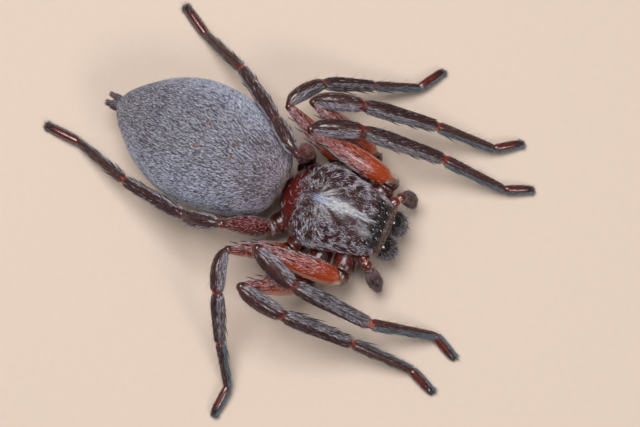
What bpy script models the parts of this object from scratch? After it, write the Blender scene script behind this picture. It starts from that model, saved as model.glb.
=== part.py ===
"""Life-size still model of a thelcticopis huntsman spider, standing with its legs drawn forward.

The head points along -Y, the animal's left side is +X and up is +Z. All sizes are in metres.
The body is lofted from cross-sections, each leg is a chain of tapered tubes that bend at the joints,
and each tube is cut off square between its neighbours so that a thin gap is left at every joint.
"""

import math
import random

import bmesh
import bpy
from mathutils import Matrix, Vector
from mathutils.bvhtree import BVHTree

MM = 0.001
GAP = 0.3 * MM
HALF_GAP = GAP / 2
EYE_GAP = 0.1 * MM
SEED = 41

# The stance: where the waist of the animal stands from the middle of its footprint
STANCE_X = 1.454 * MM
STANCE_Y = -0.531 * MM

# Prosoma, front to back: place along the body, half width, and heights of margin, top and underside
PROSOMA_SIDES = 32
PROSOMA_RINGS = 22
PROSOMA_STATIONS = (
    (-8.70, 1.66, 4.35, 4.85, 3.85),
    (-8.45, 2.06, 4.22, 5.36, 3.10),
    (-7.80, 2.36, 4.08, 5.82, 2.15),
    (-6.70, 2.76, 3.85, 6.24, 1.70),
    (-5.30, 3.04, 3.65, 6.46, 1.50),
    (-3.90, 3.34, 3.50, 6.46, 1.45),
    (-2.60, 3.22, 3.40, 6.14, 1.50),
    (-1.50, 2.62, 3.40, 5.52, 1.75),
    (-0.80, 1.80, 3.40, 4.80, 2.10),
    (-0.40, 1.05, 3.40, 4.10, 2.55),
)
DOME_SQUARENESS = 0.80
KEEL_WIDTH_POWER = 1.45
KEEL_DEPTH_POWER = 0.90

# The fore body is turned a few degrees to the animal's left, about a point under its middle
FORE_TURN = 4.5
TURN_POINT = Vector((0.0, -2.4, 0.0))

# Opisthosoma, front to back: place along the body, half width, and heights of middle, top and underside
OPISTHOSOMA_SIDES = 32
OPISTHOSOMA_RINGS = 22
OPISTHOSOMA_STATIONS = (
    (-0.20, 1.00, 4.35, 5.30, 3.45),
    (-0.02, 1.80, 4.40, 5.95, 2.85),
    (0.65, 2.92, 4.45, 6.80, 2.00),
    (2.20, 3.86, 4.50, 7.65, 1.15),
    (4.20, 4.46, 4.50, 8.10, 0.80),
    (6.30, 4.74, 4.45, 8.20, 0.75),
    (8.50, 4.50, 4.40, 7.85, 0.85),
    (10.60, 3.58, 4.25, 7.05, 1.15),
    (12.30, 2.28, 3.95, 5.95, 1.65),
    (13.30, 1.30, 3.65, 4.85, 2.15),
    (13.72, 0.60, 3.50, 4.15, 2.65),
)

# Waist between the two body parts
PEDICEL_RADIUS = 0.55
PEDICEL_HEIGHT = 3.35
PEDICEL_FROM = -1.2
PEDICEL_TO = 0.6

# Eyes: side offset, place along the body and radius
EYE_SIDES = 12
EYE_RISE = 0.02 * MM
EYES = {
    "eye_front_median": (0.36, -8.28, 0.20),
    "eye_front_lateral": (1.02, -8.18, 0.21),
    "eye_rear_median": (0.55, -7.74, 0.19),
    "eye_rear_lateral": (1.62, -7.68, 0.20),
}

# Jaws and fangs
CHELICERA_PATH = ((0.98, -7.85, 3.75), (1.05, -9.25, 3.85), (0.92, -9.15, 1.75))
CHELICERA_WIDTHS = ((0.0, 0.55), (0.30, 0.78), (0.60, 0.80), (0.85, 0.66), (1.0, 0.42))
FANG_PATH = ((0.98, -8.98, 1.28), (0.88, -8.40, 0.78), (0.38, -8.06, 1.12))
FANG_WIDTHS = ((0.0, 0.27), (0.5, 0.20), (1.0, 0.06))

# Palps: the way each runs, and its half thickness along the way
PALP_WIDTHS = (
    (0.0, 0.40), (0.20, 0.44), (0.42, 0.36), (0.50, 0.40), (0.60, 0.36), (0.72, 0.50), (0.88, 0.52),
    (1.0, 0.28),
)
PALP_PATHS = {
    "palp_left": ((2.00, -7.55, 3.00), (2.95, -8.35, 3.80), (3.60, -8.30, 3.75), (3.95, -8.75, 2.70),
                  (3.70, -9.25, 1.45)),
    "palp_right": ((-1.50, -7.70, 2.95), (-2.15, -8.00, 3.80), (-2.35, -8.35, 3.75), (-2.75, -9.25, 2.75),
                   (-3.20, -9.85, 1.45)),
}

# Spinnerets at the tip of the abdomen: side offset, height, half thickness and length of each pair
SPINNERET_BASE = (13.45, 3.05)
SPINNERETS = (
    (0.34, -0.22, 0.29, 0.98),
    (0.30, 0.36, 0.25, 0.86),
)

# Legs, pair by pair: socket and trochanter joint on the left side, and the length of each segment
SOCKETS = {
    1: (1.3, -6.35, 2.75),
    2: (1.5, -4.80, 2.45),
    3: (1.4, -3.25, 2.45),
    4: (1.0, -1.90, 2.55),
}
TROCHANTERS = {
    1: (4.20, -6.95, 3.30),
    2: (5.60, -4.90, 2.20),
    3: (4.10, -2.60, 2.30),
    4: (3.20, -0.50, 2.60),
}
SEGMENT_LENGTHS = {
    1: {"femur": 7.40, "patella": 3.74, "tibia": 7.05, "metatarsus": 5.80, "tarsus": 2.05},
    2: {"femur": 6.80, "patella": 3.62, "tibia": 6.35, "metatarsus": 5.38, "tarsus": 2.13},
    3: {"femur": 5.80, "patella": 3.18, "tibia": 4.62, "metatarsus": 3.98, "tarsus": 2.15},
    4: {"femur": 6.00, "patella": 3.28, "tibia": 6.46, "metatarsus": 5.74, "tarsus": 2.69},
}
LEG_THICKNESS = {1: 1.0, 2: 0.97, 3: 0.84, 4: 0.86}
ANKLE_HEIGHT = 0.66
TOE_HEIGHT = 0.33

# Heading and slope in degrees of each segment; the last two slope just enough to reach the floor
LEG_POSES = {
    "left_1": {"femur": (88.7, 24.5), "patella": (-64.1, -1.6), "tibia": (-76.0, -25.9),
               "metatarsus": -83.4, "tarsus": -60.4},
    "left_2": {"femur": (82.3, 35.0), "patella": (-66.2, -3.0), "tibia": (-72.2, -25.6),
               "metatarsus": -77.4, "tarsus": -49.4},
    "left_3": {"femur": (75.6, 32.5), "patella": (-25.5, -12.6), "tibia": (-56.2, -32.0),
               "metatarsus": -58.1, "tarsus": -25.4},
    "left_4": {"femur": (177.5, 76.7), "patella": (57.0, -16.6), "tibia": (57.0, -33.2),
               "metatarsus": 67.5, "tarsus": 62.1},
    "right_1": {"femur": (102.8, 34.0), "patella": (-107.4, -8.0), "tibia": (-85.2, -29.9),
                "metatarsus": -68.9, "tarsus": -112.5},
    "right_2": {"femur": (129.0, 46.0), "patella": (-95.2, -16.0), "tibia": (-80.4, -31.5),
                "metatarsus": -83.9, "tarsus": -109.2},
    "right_3": {"femur": (123.4, 42.0), "patella": (-165.2, 0.5), "tibia": (-151.3, -45.9),
                "metatarsus": -143.4, "tarsus": 179.6},
    "right_4": {"femur": (126.7, 56.5), "patella": (100.7, -30.7), "tibia": (83.5, -27.6),
                "metatarsus": 75.3, "tarsus": 90.1},
}

# Half thickness along each segment of the first leg, from its root to its far end
COXA_WIDTHS = ((0.0, 0.66), (0.45, 0.72), (0.66, 0.66), (0.74, 0.56), (0.86, 0.62), (1.0, 0.58))
FEMUR_WIDTHS = (
    (0.0, 0.58), (0.10, 0.76), (0.30, 0.88), (0.55, 0.80), (0.78, 0.60), (0.92, 0.44), (1.0, 0.37),
)
PATELLA_WIDTHS = ((0.0, 0.34), (0.12, 0.42), (0.35, 0.60), (0.65, 0.69), (0.90, 0.62), (1.0, 0.53))
TIBIA_WIDTHS = ((0.0, 0.44), (0.08, 0.54), (0.30, 0.60), (0.60, 0.55), (0.88, 0.48), (1.0, 0.43))
METATARSUS_WIDTHS = ((0.0, 0.40), (0.12, 0.44), (0.50, 0.38), (0.85, 0.34), (1.0, 0.33))
TARSUS_WIDTHS = ((0.0, 0.32), (0.30, 0.38), (0.70, 0.44), (1.0, 0.40))
FEMUR_BOW = 0.35
PATELLA_ARCH = 0.95
LEG_SIDES = 10
END_REACH = 0.30

# Leg spines: places along the segment and round it from the top line towards the leg's front side,
# then length and lean in degrees; the hind legs keep theirs off the side that faces the abdomen
SPINE_SIDES = 5
SPINE_HALF_WIDTH = 0.25
SPINE_ROOT = 0.55
SPINE_SINK = 0.14
SPINE_LEAN = 14.0
FEMUR_SPINES = ((0.32, 28.0), (0.50, -30.0), (0.66, 24.0))
TIBIA_SPINES = ((0.28, 118.0), (0.28, -118.0), (0.60, 122.0), (0.60, -122.0))
HIND_TIBIA_SPINES = ((0.28, 118.0), (0.34, 172.0), (0.60, 122.0), (0.66, 172.0))
METATARSUS_SPINES = ((0.16, 115.0), (0.16, -115.0), (0.52, 105.0), (0.52, -105.0))
SPINE_LENGTHS = {"femur": 1.25, "tibia": 1.45, "metatarsus": 1.15}

COLORS = {
    "velvet": ((0.085, 0.078, 0.080), 0.75),
    "carapace": ((0.055, 0.022, 0.018), 0.40),
    "dark_red": ((0.150, 0.016, 0.008), 0.22),
    "orange_red": ((0.330, 0.055, 0.018), 0.28),
    "grey_brown": ((0.090, 0.066, 0.070), 0.60),
    "black": ((0.008, 0.008, 0.009), 0.15),
    "palp_brown": ((0.070, 0.032, 0.026), 0.60),
}


def clear_scene():
    for obj in list(bpy.data.objects):
        bpy.data.objects.remove(obj, do_unlink=True)


def new_collection(name):
    collection = bpy.data.collections.new(name)
    bpy.context.scene.collection.children.link(collection)
    return collection


def turned(point):
    """Turn a place of the fore body, in millimetres, to where the animal holds its head."""
    return Matrix.Rotation(math.radians(FORE_TURN), 3, "Z") @ (point - TURN_POINT) + TURN_POINT


def paint(obj, name):
    """Give the object its surface, shared by all that look alike."""
    material = bpy.data.materials.get(name)
    if material is None:
        color, roughness = COLORS[name]
        material = bpy.data.materials.new(name)
        material.use_nodes = True
        shader = material.node_tree.nodes["Principled BSDF"]
        shader.inputs["Base Color"].default_value = (*color, 1.0)
        shader.inputs["Roughness"].default_value = roughness
        shader.inputs["Metallic"].default_value = 0.0
    obj.data.materials.clear()
    obj.data.materials.append(material)


def smooth_between(stations, value):
    """Read a table of rows at a first-column value, with a smooth curve through the rows."""
    rows = [Vector(row) for row in stations]
    index = 0
    while index < len(rows) - 2 and value > rows[index + 1][0]:
        index += 1
    before = rows[max(index - 1, 0)]
    low = rows[index]
    high = rows[index + 1]
    after = rows[min(index + 2, len(rows) - 1)]
    span = high[0] - low[0]
    t = (value - low[0]) / span
    slope_low = (high - before) * (span / (high[0] - before[0]))
    slope_high = (after - low) * (span / (after[0] - low[0]))
    return (
        low * (2 * t ** 3 - 3 * t ** 2 + 1)
        + slope_low * (t ** 3 - 2 * t ** 2 + t)
        + high * (3 * t ** 2 - 2 * t ** 3)
        + slope_high * (t ** 3 - t ** 2)
    )


def along_path(points, t):
    """A place on the Bezier curve that the points steer, and the heading there."""
    level = [Vector(p) for p in points]
    heading = level[-1] - level[0]
    while len(level) > 1:
        if len(level) == 2:
            heading = level[1] - level[0]
        level = [a.lerp(b, t) for a, b in zip(level, level[1:])]
    return level[0], heading.normalized()


def loft(name, rings, collection):
    """Skin a row of rings of points with faces, and close both ends."""
    bm = bmesh.new()
    rows = [[bm.verts.new(point) for point in ring] for ring in rings]
    sides = len(rows[0])
    for low, high in zip(rows, rows[1:]):
        for i in range(sides):
            j = (i + 1) % sides
            bm.faces.new((low[i], low[j], high[j], high[i]))
    bm.faces.new(rows[0][::-1])
    bm.faces.new(rows[-1])
    bmesh.ops.recalc_face_normals(bm, faces=bm.faces)
    mesh = bpy.data.meshes.new(name)
    bm.to_mesh(mesh)
    bm.free()
    obj = bpy.data.objects.new(name, mesh)
    collection.objects.link(obj)
    return obj


def section_frame(heading):
    """Top and side directions of a tube that runs along the heading."""
    upright = Vector((0.0, 0.0, 1.0))
    top = (upright - heading * upright.dot(heading)).normalized()
    return top, heading.cross(top).normalized()


def tube_rings(points, widths, steps, sides, thickness=1.0):
    """Rings of a tapered tube along a Bezier path, all in millimetres."""
    rings = []
    for step in range(steps + 1):
        t = step / steps
        centre, heading = along_path(points, t)
        top, side = section_frame(heading)
        radius = smooth_between(widths, t)[1] * thickness
        ring = []
        for i in range(sides):
            angle = math.tau * i / sides
            ring.append((centre + (top * math.cos(angle) + side * math.sin(angle)) * radius) * MM)
        rings.append(ring)
    return rings


def tube(name, points, widths, steps, sides, collection, thickness=1.0):
    return loft(name, tube_rings(points, widths, steps, sides, thickness), collection)


def longer_ends(points, start_reach, end_reach):
    """Extra control points that run a path on past its ends."""
    path = [Vector(p) for p in points]
    first = (path[0] - path[1]).normalized() * start_reach
    last = (path[-1] - path[-2]).normalized() * end_reach
    return path[0] + first, path[-1] + last


def replace_mesh(obj, mesh):
    old = obj.data
    obj.data = mesh
    bpy.data.meshes.remove(old)


def keep_largest(obj):
    """Keep only the largest closed surface of the object's mesh."""
    bm = bmesh.new()
    bm.from_mesh(obj.data)
    bmesh.ops.remove_doubles(bm, verts=bm.verts, dist=0.0005 * MM)
    left = set(bm.verts)
    groups = []
    while left:
        stack = [left.pop()]
        group = set(stack)
        while stack:
            for edge in stack.pop().link_edges:
                for vert in edge.verts:
                    if vert in left:
                        left.discard(vert)
                        group.add(vert)
                        stack.append(vert)
        groups.append(group)
    largest = max(groups, key=len)
    loose = [vert for group in groups if group is not largest for vert in group]
    bmesh.ops.delete(bm, geom=loose, context="VERTS")
    bm.to_mesh(obj.data)
    bm.free()


def boolean(obj, operation, collection, solver="EXACT"):
    """Join or cut the object with every mesh of a collection, which is then removed."""
    modifier = obj.modifiers.new(operation.title(), "BOOLEAN")
    modifier.operation = operation
    modifier.operand_type = "COLLECTION"
    modifier.collection = collection
    modifier.solver = solver
    depsgraph = bpy.context.evaluated_depsgraph_get()
    mesh = bpy.data.meshes.new_from_object(obj.evaluated_get(depsgraph))
    obj.modifiers.clear()
    replace_mesh(obj, mesh)
    for piece in list(collection.objects):
        bpy.data.objects.remove(piece, do_unlink=True)
    bpy.data.collections.remove(collection)
    keep_largest(obj)


def cut_off(obj, place, normal):
    """Cut away what lies past a plane, and close the cut with one flat face."""
    bm = bmesh.new()
    bm.from_mesh(obj.data)
    geometry = bm.verts[:] + bm.edges[:] + bm.faces[:]
    bmesh.ops.bisect_plane(
        bm, geom=geometry, dist=0.0001 * MM, plane_co=place, plane_no=normal, clear_outer=True
    )
    rim = [edge for edge in bm.edges if edge.is_boundary]
    bmesh.ops.holes_fill(bm, edges=rim, sides=0)
    bmesh.ops.recalc_face_normals(bm, faces=bm.faces)
    bm.to_mesh(obj.data)
    bm.free()
    keep_largest(obj)


def prosoma_rings(grow):
    """Sections of the fore body: a dome over a keel that narrows to the breast plate."""
    rings = []
    first = PROSOMA_STATIONS[0][0]
    last = PROSOMA_STATIONS[-1][0]
    for k in range(PROSOMA_RINGS):
        wave = 0.5 - 0.5 * math.cos(math.pi * k / (PROSOMA_RINGS - 1))
        place, half_width, margin, top, keel = smooth_between(
            PROSOMA_STATIONS, first + (last - first) * wave
        )
        place += grow * (2 * wave - 1)
        ring = []
        for i in range(PROSOMA_SIDES):
            angle = math.tau * i / PROSOMA_SIDES
            c, s = math.cos(angle), math.sin(angle)
            if s >= 0:
                x = math.copysign(abs(c) ** DOME_SQUARENESS, c) * (half_width + grow)
                z = margin + (top - margin + grow) * s
            else:
                x = math.copysign(abs(c) ** KEEL_WIDTH_POWER, c) * (half_width + grow)
                z = margin - (margin - keel + grow) * abs(s) ** KEEL_DEPTH_POWER
            ring.append(turned(Vector((x, place, z))) * MM)
        rings.append(ring)
    return rings


def opisthosoma_rings(grow):
    """Sections of the abdomen: rounded ovals, highest and widest near the middle."""
    rings = []
    first = OPISTHOSOMA_STATIONS[0][0]
    last = OPISTHOSOMA_STATIONS[-1][0]
    for k in range(OPISTHOSOMA_RINGS):
        wave = 0.5 - 0.5 * math.cos(math.pi * k / (OPISTHOSOMA_RINGS - 1))
        place, half_width, middle, top, under = smooth_between(
            OPISTHOSOMA_STATIONS, first + (last - first) * wave
        )
        place += grow * (2 * wave - 1)
        ring = []
        for i in range(OPISTHOSOMA_SIDES):
            angle = math.tau * i / OPISTHOSOMA_SIDES
            c, s = math.cos(angle), math.sin(angle)
            height = top - middle if s >= 0 else middle - under
            ring.append(Vector(((half_width + grow) * c, place, middle + (height + grow) * s)) * MM)
        rings.append(ring)
    return rings


def body_cutter(name, rings):
    """A collection that holds one grown copy of a body part, to cut its neighbours clear of it."""
    cutters = new_collection(name)
    cutter = loft(name, rings, cutters)
    cutter.hide_render = True
    cutter.display_type = "WIRE"
    return cutters


def surface_tree(obj):
    return BVHTree.FromPolygons(
        [vert.co for vert in obj.data.vertices], [tuple(face.vertices) for face in obj.data.polygons]
    )


def make_prosoma(collection):
    prosoma = loft("prosoma", prosoma_rings(0.0), collection)
    dome = surface_tree(prosoma)
    waist = new_collection("waist")
    reach = ((0.0, PEDICEL_FROM, PEDICEL_HEIGHT), (0.0, PEDICEL_TO, PEDICEL_HEIGHT))
    tube("pedicel", reach, ((0.0, PEDICEL_RADIUS), (1.0, PEDICEL_RADIUS)), 2, 12, waist)
    boolean(prosoma, "UNION", waist)
    boolean(prosoma, "DIFFERENCE", body_cutter("abdomen_room", opisthosoma_rings(GAP / MM)))
    paint(prosoma, "carapace")
    return prosoma, dome


def make_eyes(prosoma, dome, collection):
    """Eight glassy beads, each set in a socket a little wider than itself."""
    sockets = new_collection("eye_sockets")
    for name, (offset, place, radius) in EYES.items():
        for side, sign in (("left", 1), ("right", -1)):
            above = turned(Vector((sign * offset, place, 20.0))) * MM
            spot, normal, _, _ = dome.ray_cast(above, Vector((0.0, 0.0, -1.0)))
            centre = spot + normal * EYE_RISE
            for target, grow in ((collection, 0.0), (sockets, EYE_GAP)):
                bpy.ops.mesh.primitive_uv_sphere_add(
                    segments=EYE_SIDES, ring_count=EYE_SIDES // 2, radius=radius * MM + grow, location=centre
                )
                ball = bpy.context.active_object
                ball.name = f"{name}_{side}"
                for owner in list(ball.users_collection):
                    owner.objects.unlink(ball)
                target.objects.link(ball)
                if target is collection:
                    ball.data.polygons.foreach_set("use_smooth", [True] * len(ball.data.polygons))
                    paint(ball, "black")
    boolean(prosoma, "DIFFERENCE", sockets)


def make_opisthosoma(collection):
    opisthosoma = loft("opisthosoma", opisthosoma_rings(0.0), collection)
    paint(opisthosoma, "velvet")
    return opisthosoma


def make_spinnerets(collection):
    """Two pairs of short cones on one root at the tip of the abdomen."""
    place, height = SPINNERET_BASE
    root = ((0.0, place - 0.6, height), (0.0, place + 0.62, height))
    cluster = tube("spinnerets", root, ((0.0, 0.62), (0.8, 0.62), (1.0, 0.50)), 3, 14, collection)
    cones = new_collection("spinneret_cones")
    for offset, rise, half_width, length in SPINNERETS:
        for sign in (1, -1):
            start = Vector((sign * offset * 0.8, place + 0.1, height + rise))
            end = Vector((sign * offset * 1.1, place + 0.35 + length, height + rise * 1.2))
            widths = ((0.0, half_width), (0.7, half_width * 0.9), (1.0, half_width * 0.5))
            tube("cone", (start, end), widths, 4, 8, cones)
    boolean(cluster, "UNION", cones)
    boolean(cluster, "DIFFERENCE", body_cutter("abdomen_tip_room", opisthosoma_rings(GAP / MM)))
    paint(cluster, "palp_brown")


def mirrored(points, sign):
    return [Vector((sign * x, y, z)) for x, y, z in points]


def make_jaws(collection):
    for side, sign in (("left", 1), ("right", -1)):
        path = [turned(point) for point in mirrored(CHELICERA_PATH, sign)]
        jaw = tube(f"chelicera_{side}", path, CHELICERA_WIDTHS, 10, 14, collection)
        boolean(jaw, "DIFFERENCE", body_cutter("head_room", prosoma_rings(GAP / MM)))
        paint(jaw, "black")
        path = [turned(point) for point in mirrored(FANG_PATH, sign)]
        fang = tube(f"fang_{side}", path, FANG_WIDTHS, 7, 8, collection)
        paint(fang, "black")


def make_palps(collection):
    for name, path in PALP_PATHS.items():
        palp = tube(name, path, PALP_WIDTHS, 18, 10, collection)
        boolean(palp, "DIFFERENCE", body_cutter("head_room", prosoma_rings(GAP / MM)))
        paint(palp, "palp_brown")


def heading_vector(yaw, pitch):
    yaw, pitch = math.radians(yaw), math.radians(pitch)
    return Vector((math.cos(yaw) * math.cos(pitch), math.sin(yaw) * math.cos(pitch), math.sin(pitch)))


def leg_joints(name):
    """Joint places of one leg, from the body out to the toe, in millimetres."""
    side, number = name.split("_")
    pair = int(number)
    sign = 1 if side == "left" else -1
    pose = LEG_POSES[name]
    lengths = SEGMENT_LENGTHS[pair]
    socket, trochanter = mirrored((SOCKETS[pair], TROCHANTERS[pair]), sign)
    joints = [turned(socket), trochanter]
    for segment in ("femur", "patella", "tibia"):
        joints.append(joints[-1] + heading_vector(*pose[segment]) * lengths[segment])
    for segment, height in (("metatarsus", ANKLE_HEIGHT), ("tarsus", TOE_HEIGHT)):
        drop = height - joints[-1].z
        slope = math.degrees(math.asin(drop / lengths[segment]))
        joints.append(joints[-1] + heading_vector(pose[segment], slope) * lengths[segment])
    return joints


def leg_paths(joints):
    """Steering points of each segment's path."""
    socket, trochanter, knee, shin, heel, ankle, toe = joints
    out = (trochanter - socket).normalized()
    thigh = (knee - trochanter).normalized()
    turn = (out * 2.0 + thigh).normalized()
    fold = (thigh - (shin - knee).normalized()).normalized()
    bow = section_frame(thigh)[0] * FEMUR_BOW
    return {
        "coxa": (socket, trochanter - turn * 0.9, trochanter),
        "femur": (trochanter, trochanter.lerp(knee, 0.5) + bow, knee),
        "patella": (knee, knee.lerp(shin, 0.45) + fold * PATELLA_ARCH, shin),
        "tibia": (shin, shin.lerp(heel, 0.5) + Vector((0.0, 0.0, 0.25)), heel),
        "metatarsus": (heel, heel.lerp(ankle, 0.5) + Vector((0.0, 0.0, 0.15)), ankle),
        "tarsus": (ankle, ankle.lerp(toe, 0.5), toe),
    }


def miter(before, after):
    """The plane at which two paths meet, facing along the walk from body to toe."""
    arriving = (Vector(before[-1]) - Vector(before[-2])).normalized()
    leaving = (Vector(after[1]) - Vector(after[0])).normalized()
    return (arriving + leaving).normalized()


def segment_tube(
    name, path, widths, steps, collection, thickness, start_reach=END_REACH, end_reach=END_REACH
):
    """A tube along the path that runs on a little past both joints, to be cut there."""
    before, after = longer_ends(path, start_reach, end_reach)
    rings = tube_rings(path, widths, steps, LEG_SIDES, thickness)
    first = [point + (before - Vector(path[0])) * MM for point in rings[0]] if start_reach else None
    last = [point + (after - Vector(path[-1])) * MM for point in rings[-1]] if end_reach else None
    rings = ([first] if first else []) + rings + ([last] if last else [])
    return loft(name, rings, collection)


def grow_spines(spines, path, widths, thickness, places, length, sign, rng):
    """Lay a row of spines along a segment, their roots sunk well in, ready to be fused with it."""
    for at, around in places:
        at += rng.uniform(-0.03, 0.03)
        centre, heading = along_path(path, at)
        top, side = section_frame(heading)
        angle = math.radians(around + rng.uniform(-8.0, 8.0)) * sign
        out = top * math.cos(angle) + side * math.sin(angle)
        radius = smooth_between(widths, at)[1] * thickness
        lean = math.radians(SPINE_LEAN + rng.uniform(-3.0, 3.0))
        way = heading * math.cos(lean) + out * math.sin(lean)
        skin = centre + out * radius
        tip = skin + way * length * rng.uniform(0.9, 1.1)
        root = skin - way * SPINE_ROOT - out * SPINE_SINK
        spine_widths = ((0.0, SPINE_HALF_WIDTH), (1.0, 0.04))
        tube("spine", (root, tip), spine_widths, 1, SPINE_SIDES, spines)


def make_leg(name, collection, rng):
    side, number = name.split("_")
    pair = int(number)
    sign = 1 if side == "left" else -1
    joints = leg_joints(name)
    paths = leg_paths(joints)
    thick = LEG_THICKNESS[pair]
    _, trochanter, knee, _, heel, ankle, _ = joints
    at_trochanter = miter(paths["coxa"], paths["femur"])
    at_knee = miter(paths["femur"], paths["patella"])
    at_heel = miter(paths["tibia"], paths["metatarsus"])
    at_ankle = miter(paths["metatarsus"], paths["tarsus"])

    def spined(segment, obj, widths, places, *others):
        """Fuse the segment's tube with its spines and any other piece of it."""
        joined = new_collection("joined")
        for other in others:
            collection.objects.unlink(other)
            joined.objects.link(other)
        grow_spines(joined, paths[segment], widths, thick, places, SPINE_LENGTHS[segment], sign, rng)
        boolean(obj, "UNION", joined)

    coxa = segment_tube(f"leg_{name}_coxa", paths["coxa"], COXA_WIDTHS, 8, collection, thick, 0.0, 0.5)
    boolean(coxa, "DIFFERENCE", body_cutter("breast_room", prosoma_rings(GAP / MM)))
    cut_off(coxa, trochanter * MM - at_trochanter * HALF_GAP, at_trochanter)
    paint(coxa, "dark_red")

    femur = segment_tube(f"leg_{name}_femur", paths["femur"], FEMUR_WIDTHS, 9, collection, thick, 0.6, 0.5)
    spined("femur", femur, FEMUR_WIDTHS, FEMUR_SPINES)
    cut_off(femur, trochanter * MM + at_trochanter * HALF_GAP, -at_trochanter)
    cut_off(femur, knee * MM - at_knee * HALF_GAP, at_knee)
    paint(femur, "orange_red")

    patella = segment_tube("patella", paths["patella"], PATELLA_WIDTHS, 7, collection, thick, 0.5, 0.0)
    cut_off(patella, knee * MM + at_knee * HALF_GAP, -at_knee)
    tibia = segment_tube(f"leg_{name}_tibia", paths["tibia"], TIBIA_WIDTHS, 9, collection, thick)
    spined("tibia", tibia, TIBIA_WIDTHS, HIND_TIBIA_SPINES if pair == 4 else TIBIA_SPINES, patella)
    cut_off(tibia, heel * MM - at_heel * HALF_GAP, at_heel)
    paint(tibia, "grey_brown")

    metatarsus = segment_tube(
        f"leg_{name}_metatarsus", paths["metatarsus"], METATARSUS_WIDTHS, 7, collection, thick
    )
    spined("metatarsus", metatarsus, METATARSUS_WIDTHS, METATARSUS_SPINES)
    cut_off(metatarsus, heel * MM + at_heel * HALF_GAP, -at_heel)
    cut_off(metatarsus, ankle * MM - at_ankle * HALF_GAP, at_ankle)
    paint(metatarsus, "grey_brown")

    tarsus = segment_tube(f"leg_{name}_tarsus", paths["tarsus"], TARSUS_WIDTHS, 5, collection, 1.0)
    cut_off(tarsus, ankle * MM + at_ankle * HALF_GAP, -at_ankle)
    cut_off(tarsus, Vector((0.0, 0.0, 0.0)), Vector((0.0, 0.0, -1.0)))
    paint(tarsus, "dark_red")


def main():
    clear_scene()
    spider = new_collection("huntsman_spider")
    rng = random.Random(SEED)
    prosoma, dome = make_prosoma(spider)
    make_eyes(prosoma, dome, spider)
    make_opisthosoma(spider)
    make_spinnerets(spider)
    make_jaws(spider)
    make_palps(spider)
    for name in LEG_POSES:
        make_leg(name, spider, rng)

    stance = bpy.data.objects.new("stance", None)
    stance.location = (STANCE_X, STANCE_Y, 0.0)
    spider.objects.link(stance)
    for obj in spider.objects:
        if obj.type == "MESH":
            obj.parent = stance


if __name__ == "__main__":
    main()
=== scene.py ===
"""Looks of a life-size huntsman spider, laid out as an add-on: skins, lying coats, eyes, spines and stage.

Sizes in the tables are millimetres in the animal's own frame: the waist stands over the origin, the head
points along -Y and the left side is +X. STANCE moves that frame to the model's place on the floor.
"""

import math

import bpy
import numpy as np
from bpy.props import FloatProperty, FloatVectorProperty, IntProperty, PointerProperty
from mathutils import Matrix, Vector


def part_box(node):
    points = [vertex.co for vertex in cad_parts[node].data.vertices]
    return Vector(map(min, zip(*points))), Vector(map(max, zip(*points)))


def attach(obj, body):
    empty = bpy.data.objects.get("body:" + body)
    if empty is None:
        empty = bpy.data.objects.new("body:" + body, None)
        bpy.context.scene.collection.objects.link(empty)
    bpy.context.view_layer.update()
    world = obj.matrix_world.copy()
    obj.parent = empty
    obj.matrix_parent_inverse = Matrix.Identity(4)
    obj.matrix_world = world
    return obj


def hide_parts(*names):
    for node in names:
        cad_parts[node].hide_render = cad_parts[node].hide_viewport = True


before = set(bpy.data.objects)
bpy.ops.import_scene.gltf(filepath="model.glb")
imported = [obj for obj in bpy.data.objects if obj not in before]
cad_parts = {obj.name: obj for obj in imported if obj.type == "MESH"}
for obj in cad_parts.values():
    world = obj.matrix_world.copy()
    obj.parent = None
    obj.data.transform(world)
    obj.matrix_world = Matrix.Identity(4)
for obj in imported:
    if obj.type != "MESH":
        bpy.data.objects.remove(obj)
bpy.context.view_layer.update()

bl_info = {
    "name": "Huntsman Spider",
    "version": (1, 0, 0),
    "blender": (4, 5, 0),
    "location": "3D View > Sidebar > Spider",
    "description": "Dresses a museum model of a huntsman spider with its skin, coat, eyes, spines and claws",
    "category": "Object",
}

MM = 0.001
STANCE = np.array((1.454, -0.531, 0.0))
SEED = 2041
UP = np.array((0.0, 0.0, 1.0))

# Fore body, front to back: place, half width, and heights of margin, top and underside
FORE_BODY = (
    (-8.70, 1.66, 4.35, 4.85, 3.85),
    (-8.45, 2.06, 4.22, 5.36, 3.10),
    (-7.80, 2.36, 4.08, 5.82, 2.15),
    (-6.70, 2.76, 3.85, 6.24, 1.70),
    (-5.30, 3.04, 3.65, 6.46, 1.50),
    (-3.90, 3.34, 3.50, 6.46, 1.45),
    (-2.60, 3.22, 3.40, 6.14, 1.50),
    (-1.50, 2.62, 3.40, 5.52, 1.75),
    (-0.80, 1.80, 3.40, 4.80, 2.10),
    (-0.40, 1.05, 3.40, 4.10, 2.55),
)
DOME_SQUARENESS = 0.80
KEEL_WIDTH_POWER = 1.45
KEEL_DEPTH_POWER = 0.90

# How far the skins lie inside the solids' outline, to leave room for the coats
CARAPACE_COAT_DEPTH = 0.12
ABDOMEN_COAT_DEPTH = 0.08

# The fore body is turned a few degrees to the animal's left, about a point under its middle
FORE_TURN = 4.5
TURN_POINT = np.array((0.0, -2.4, 0.0))

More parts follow.
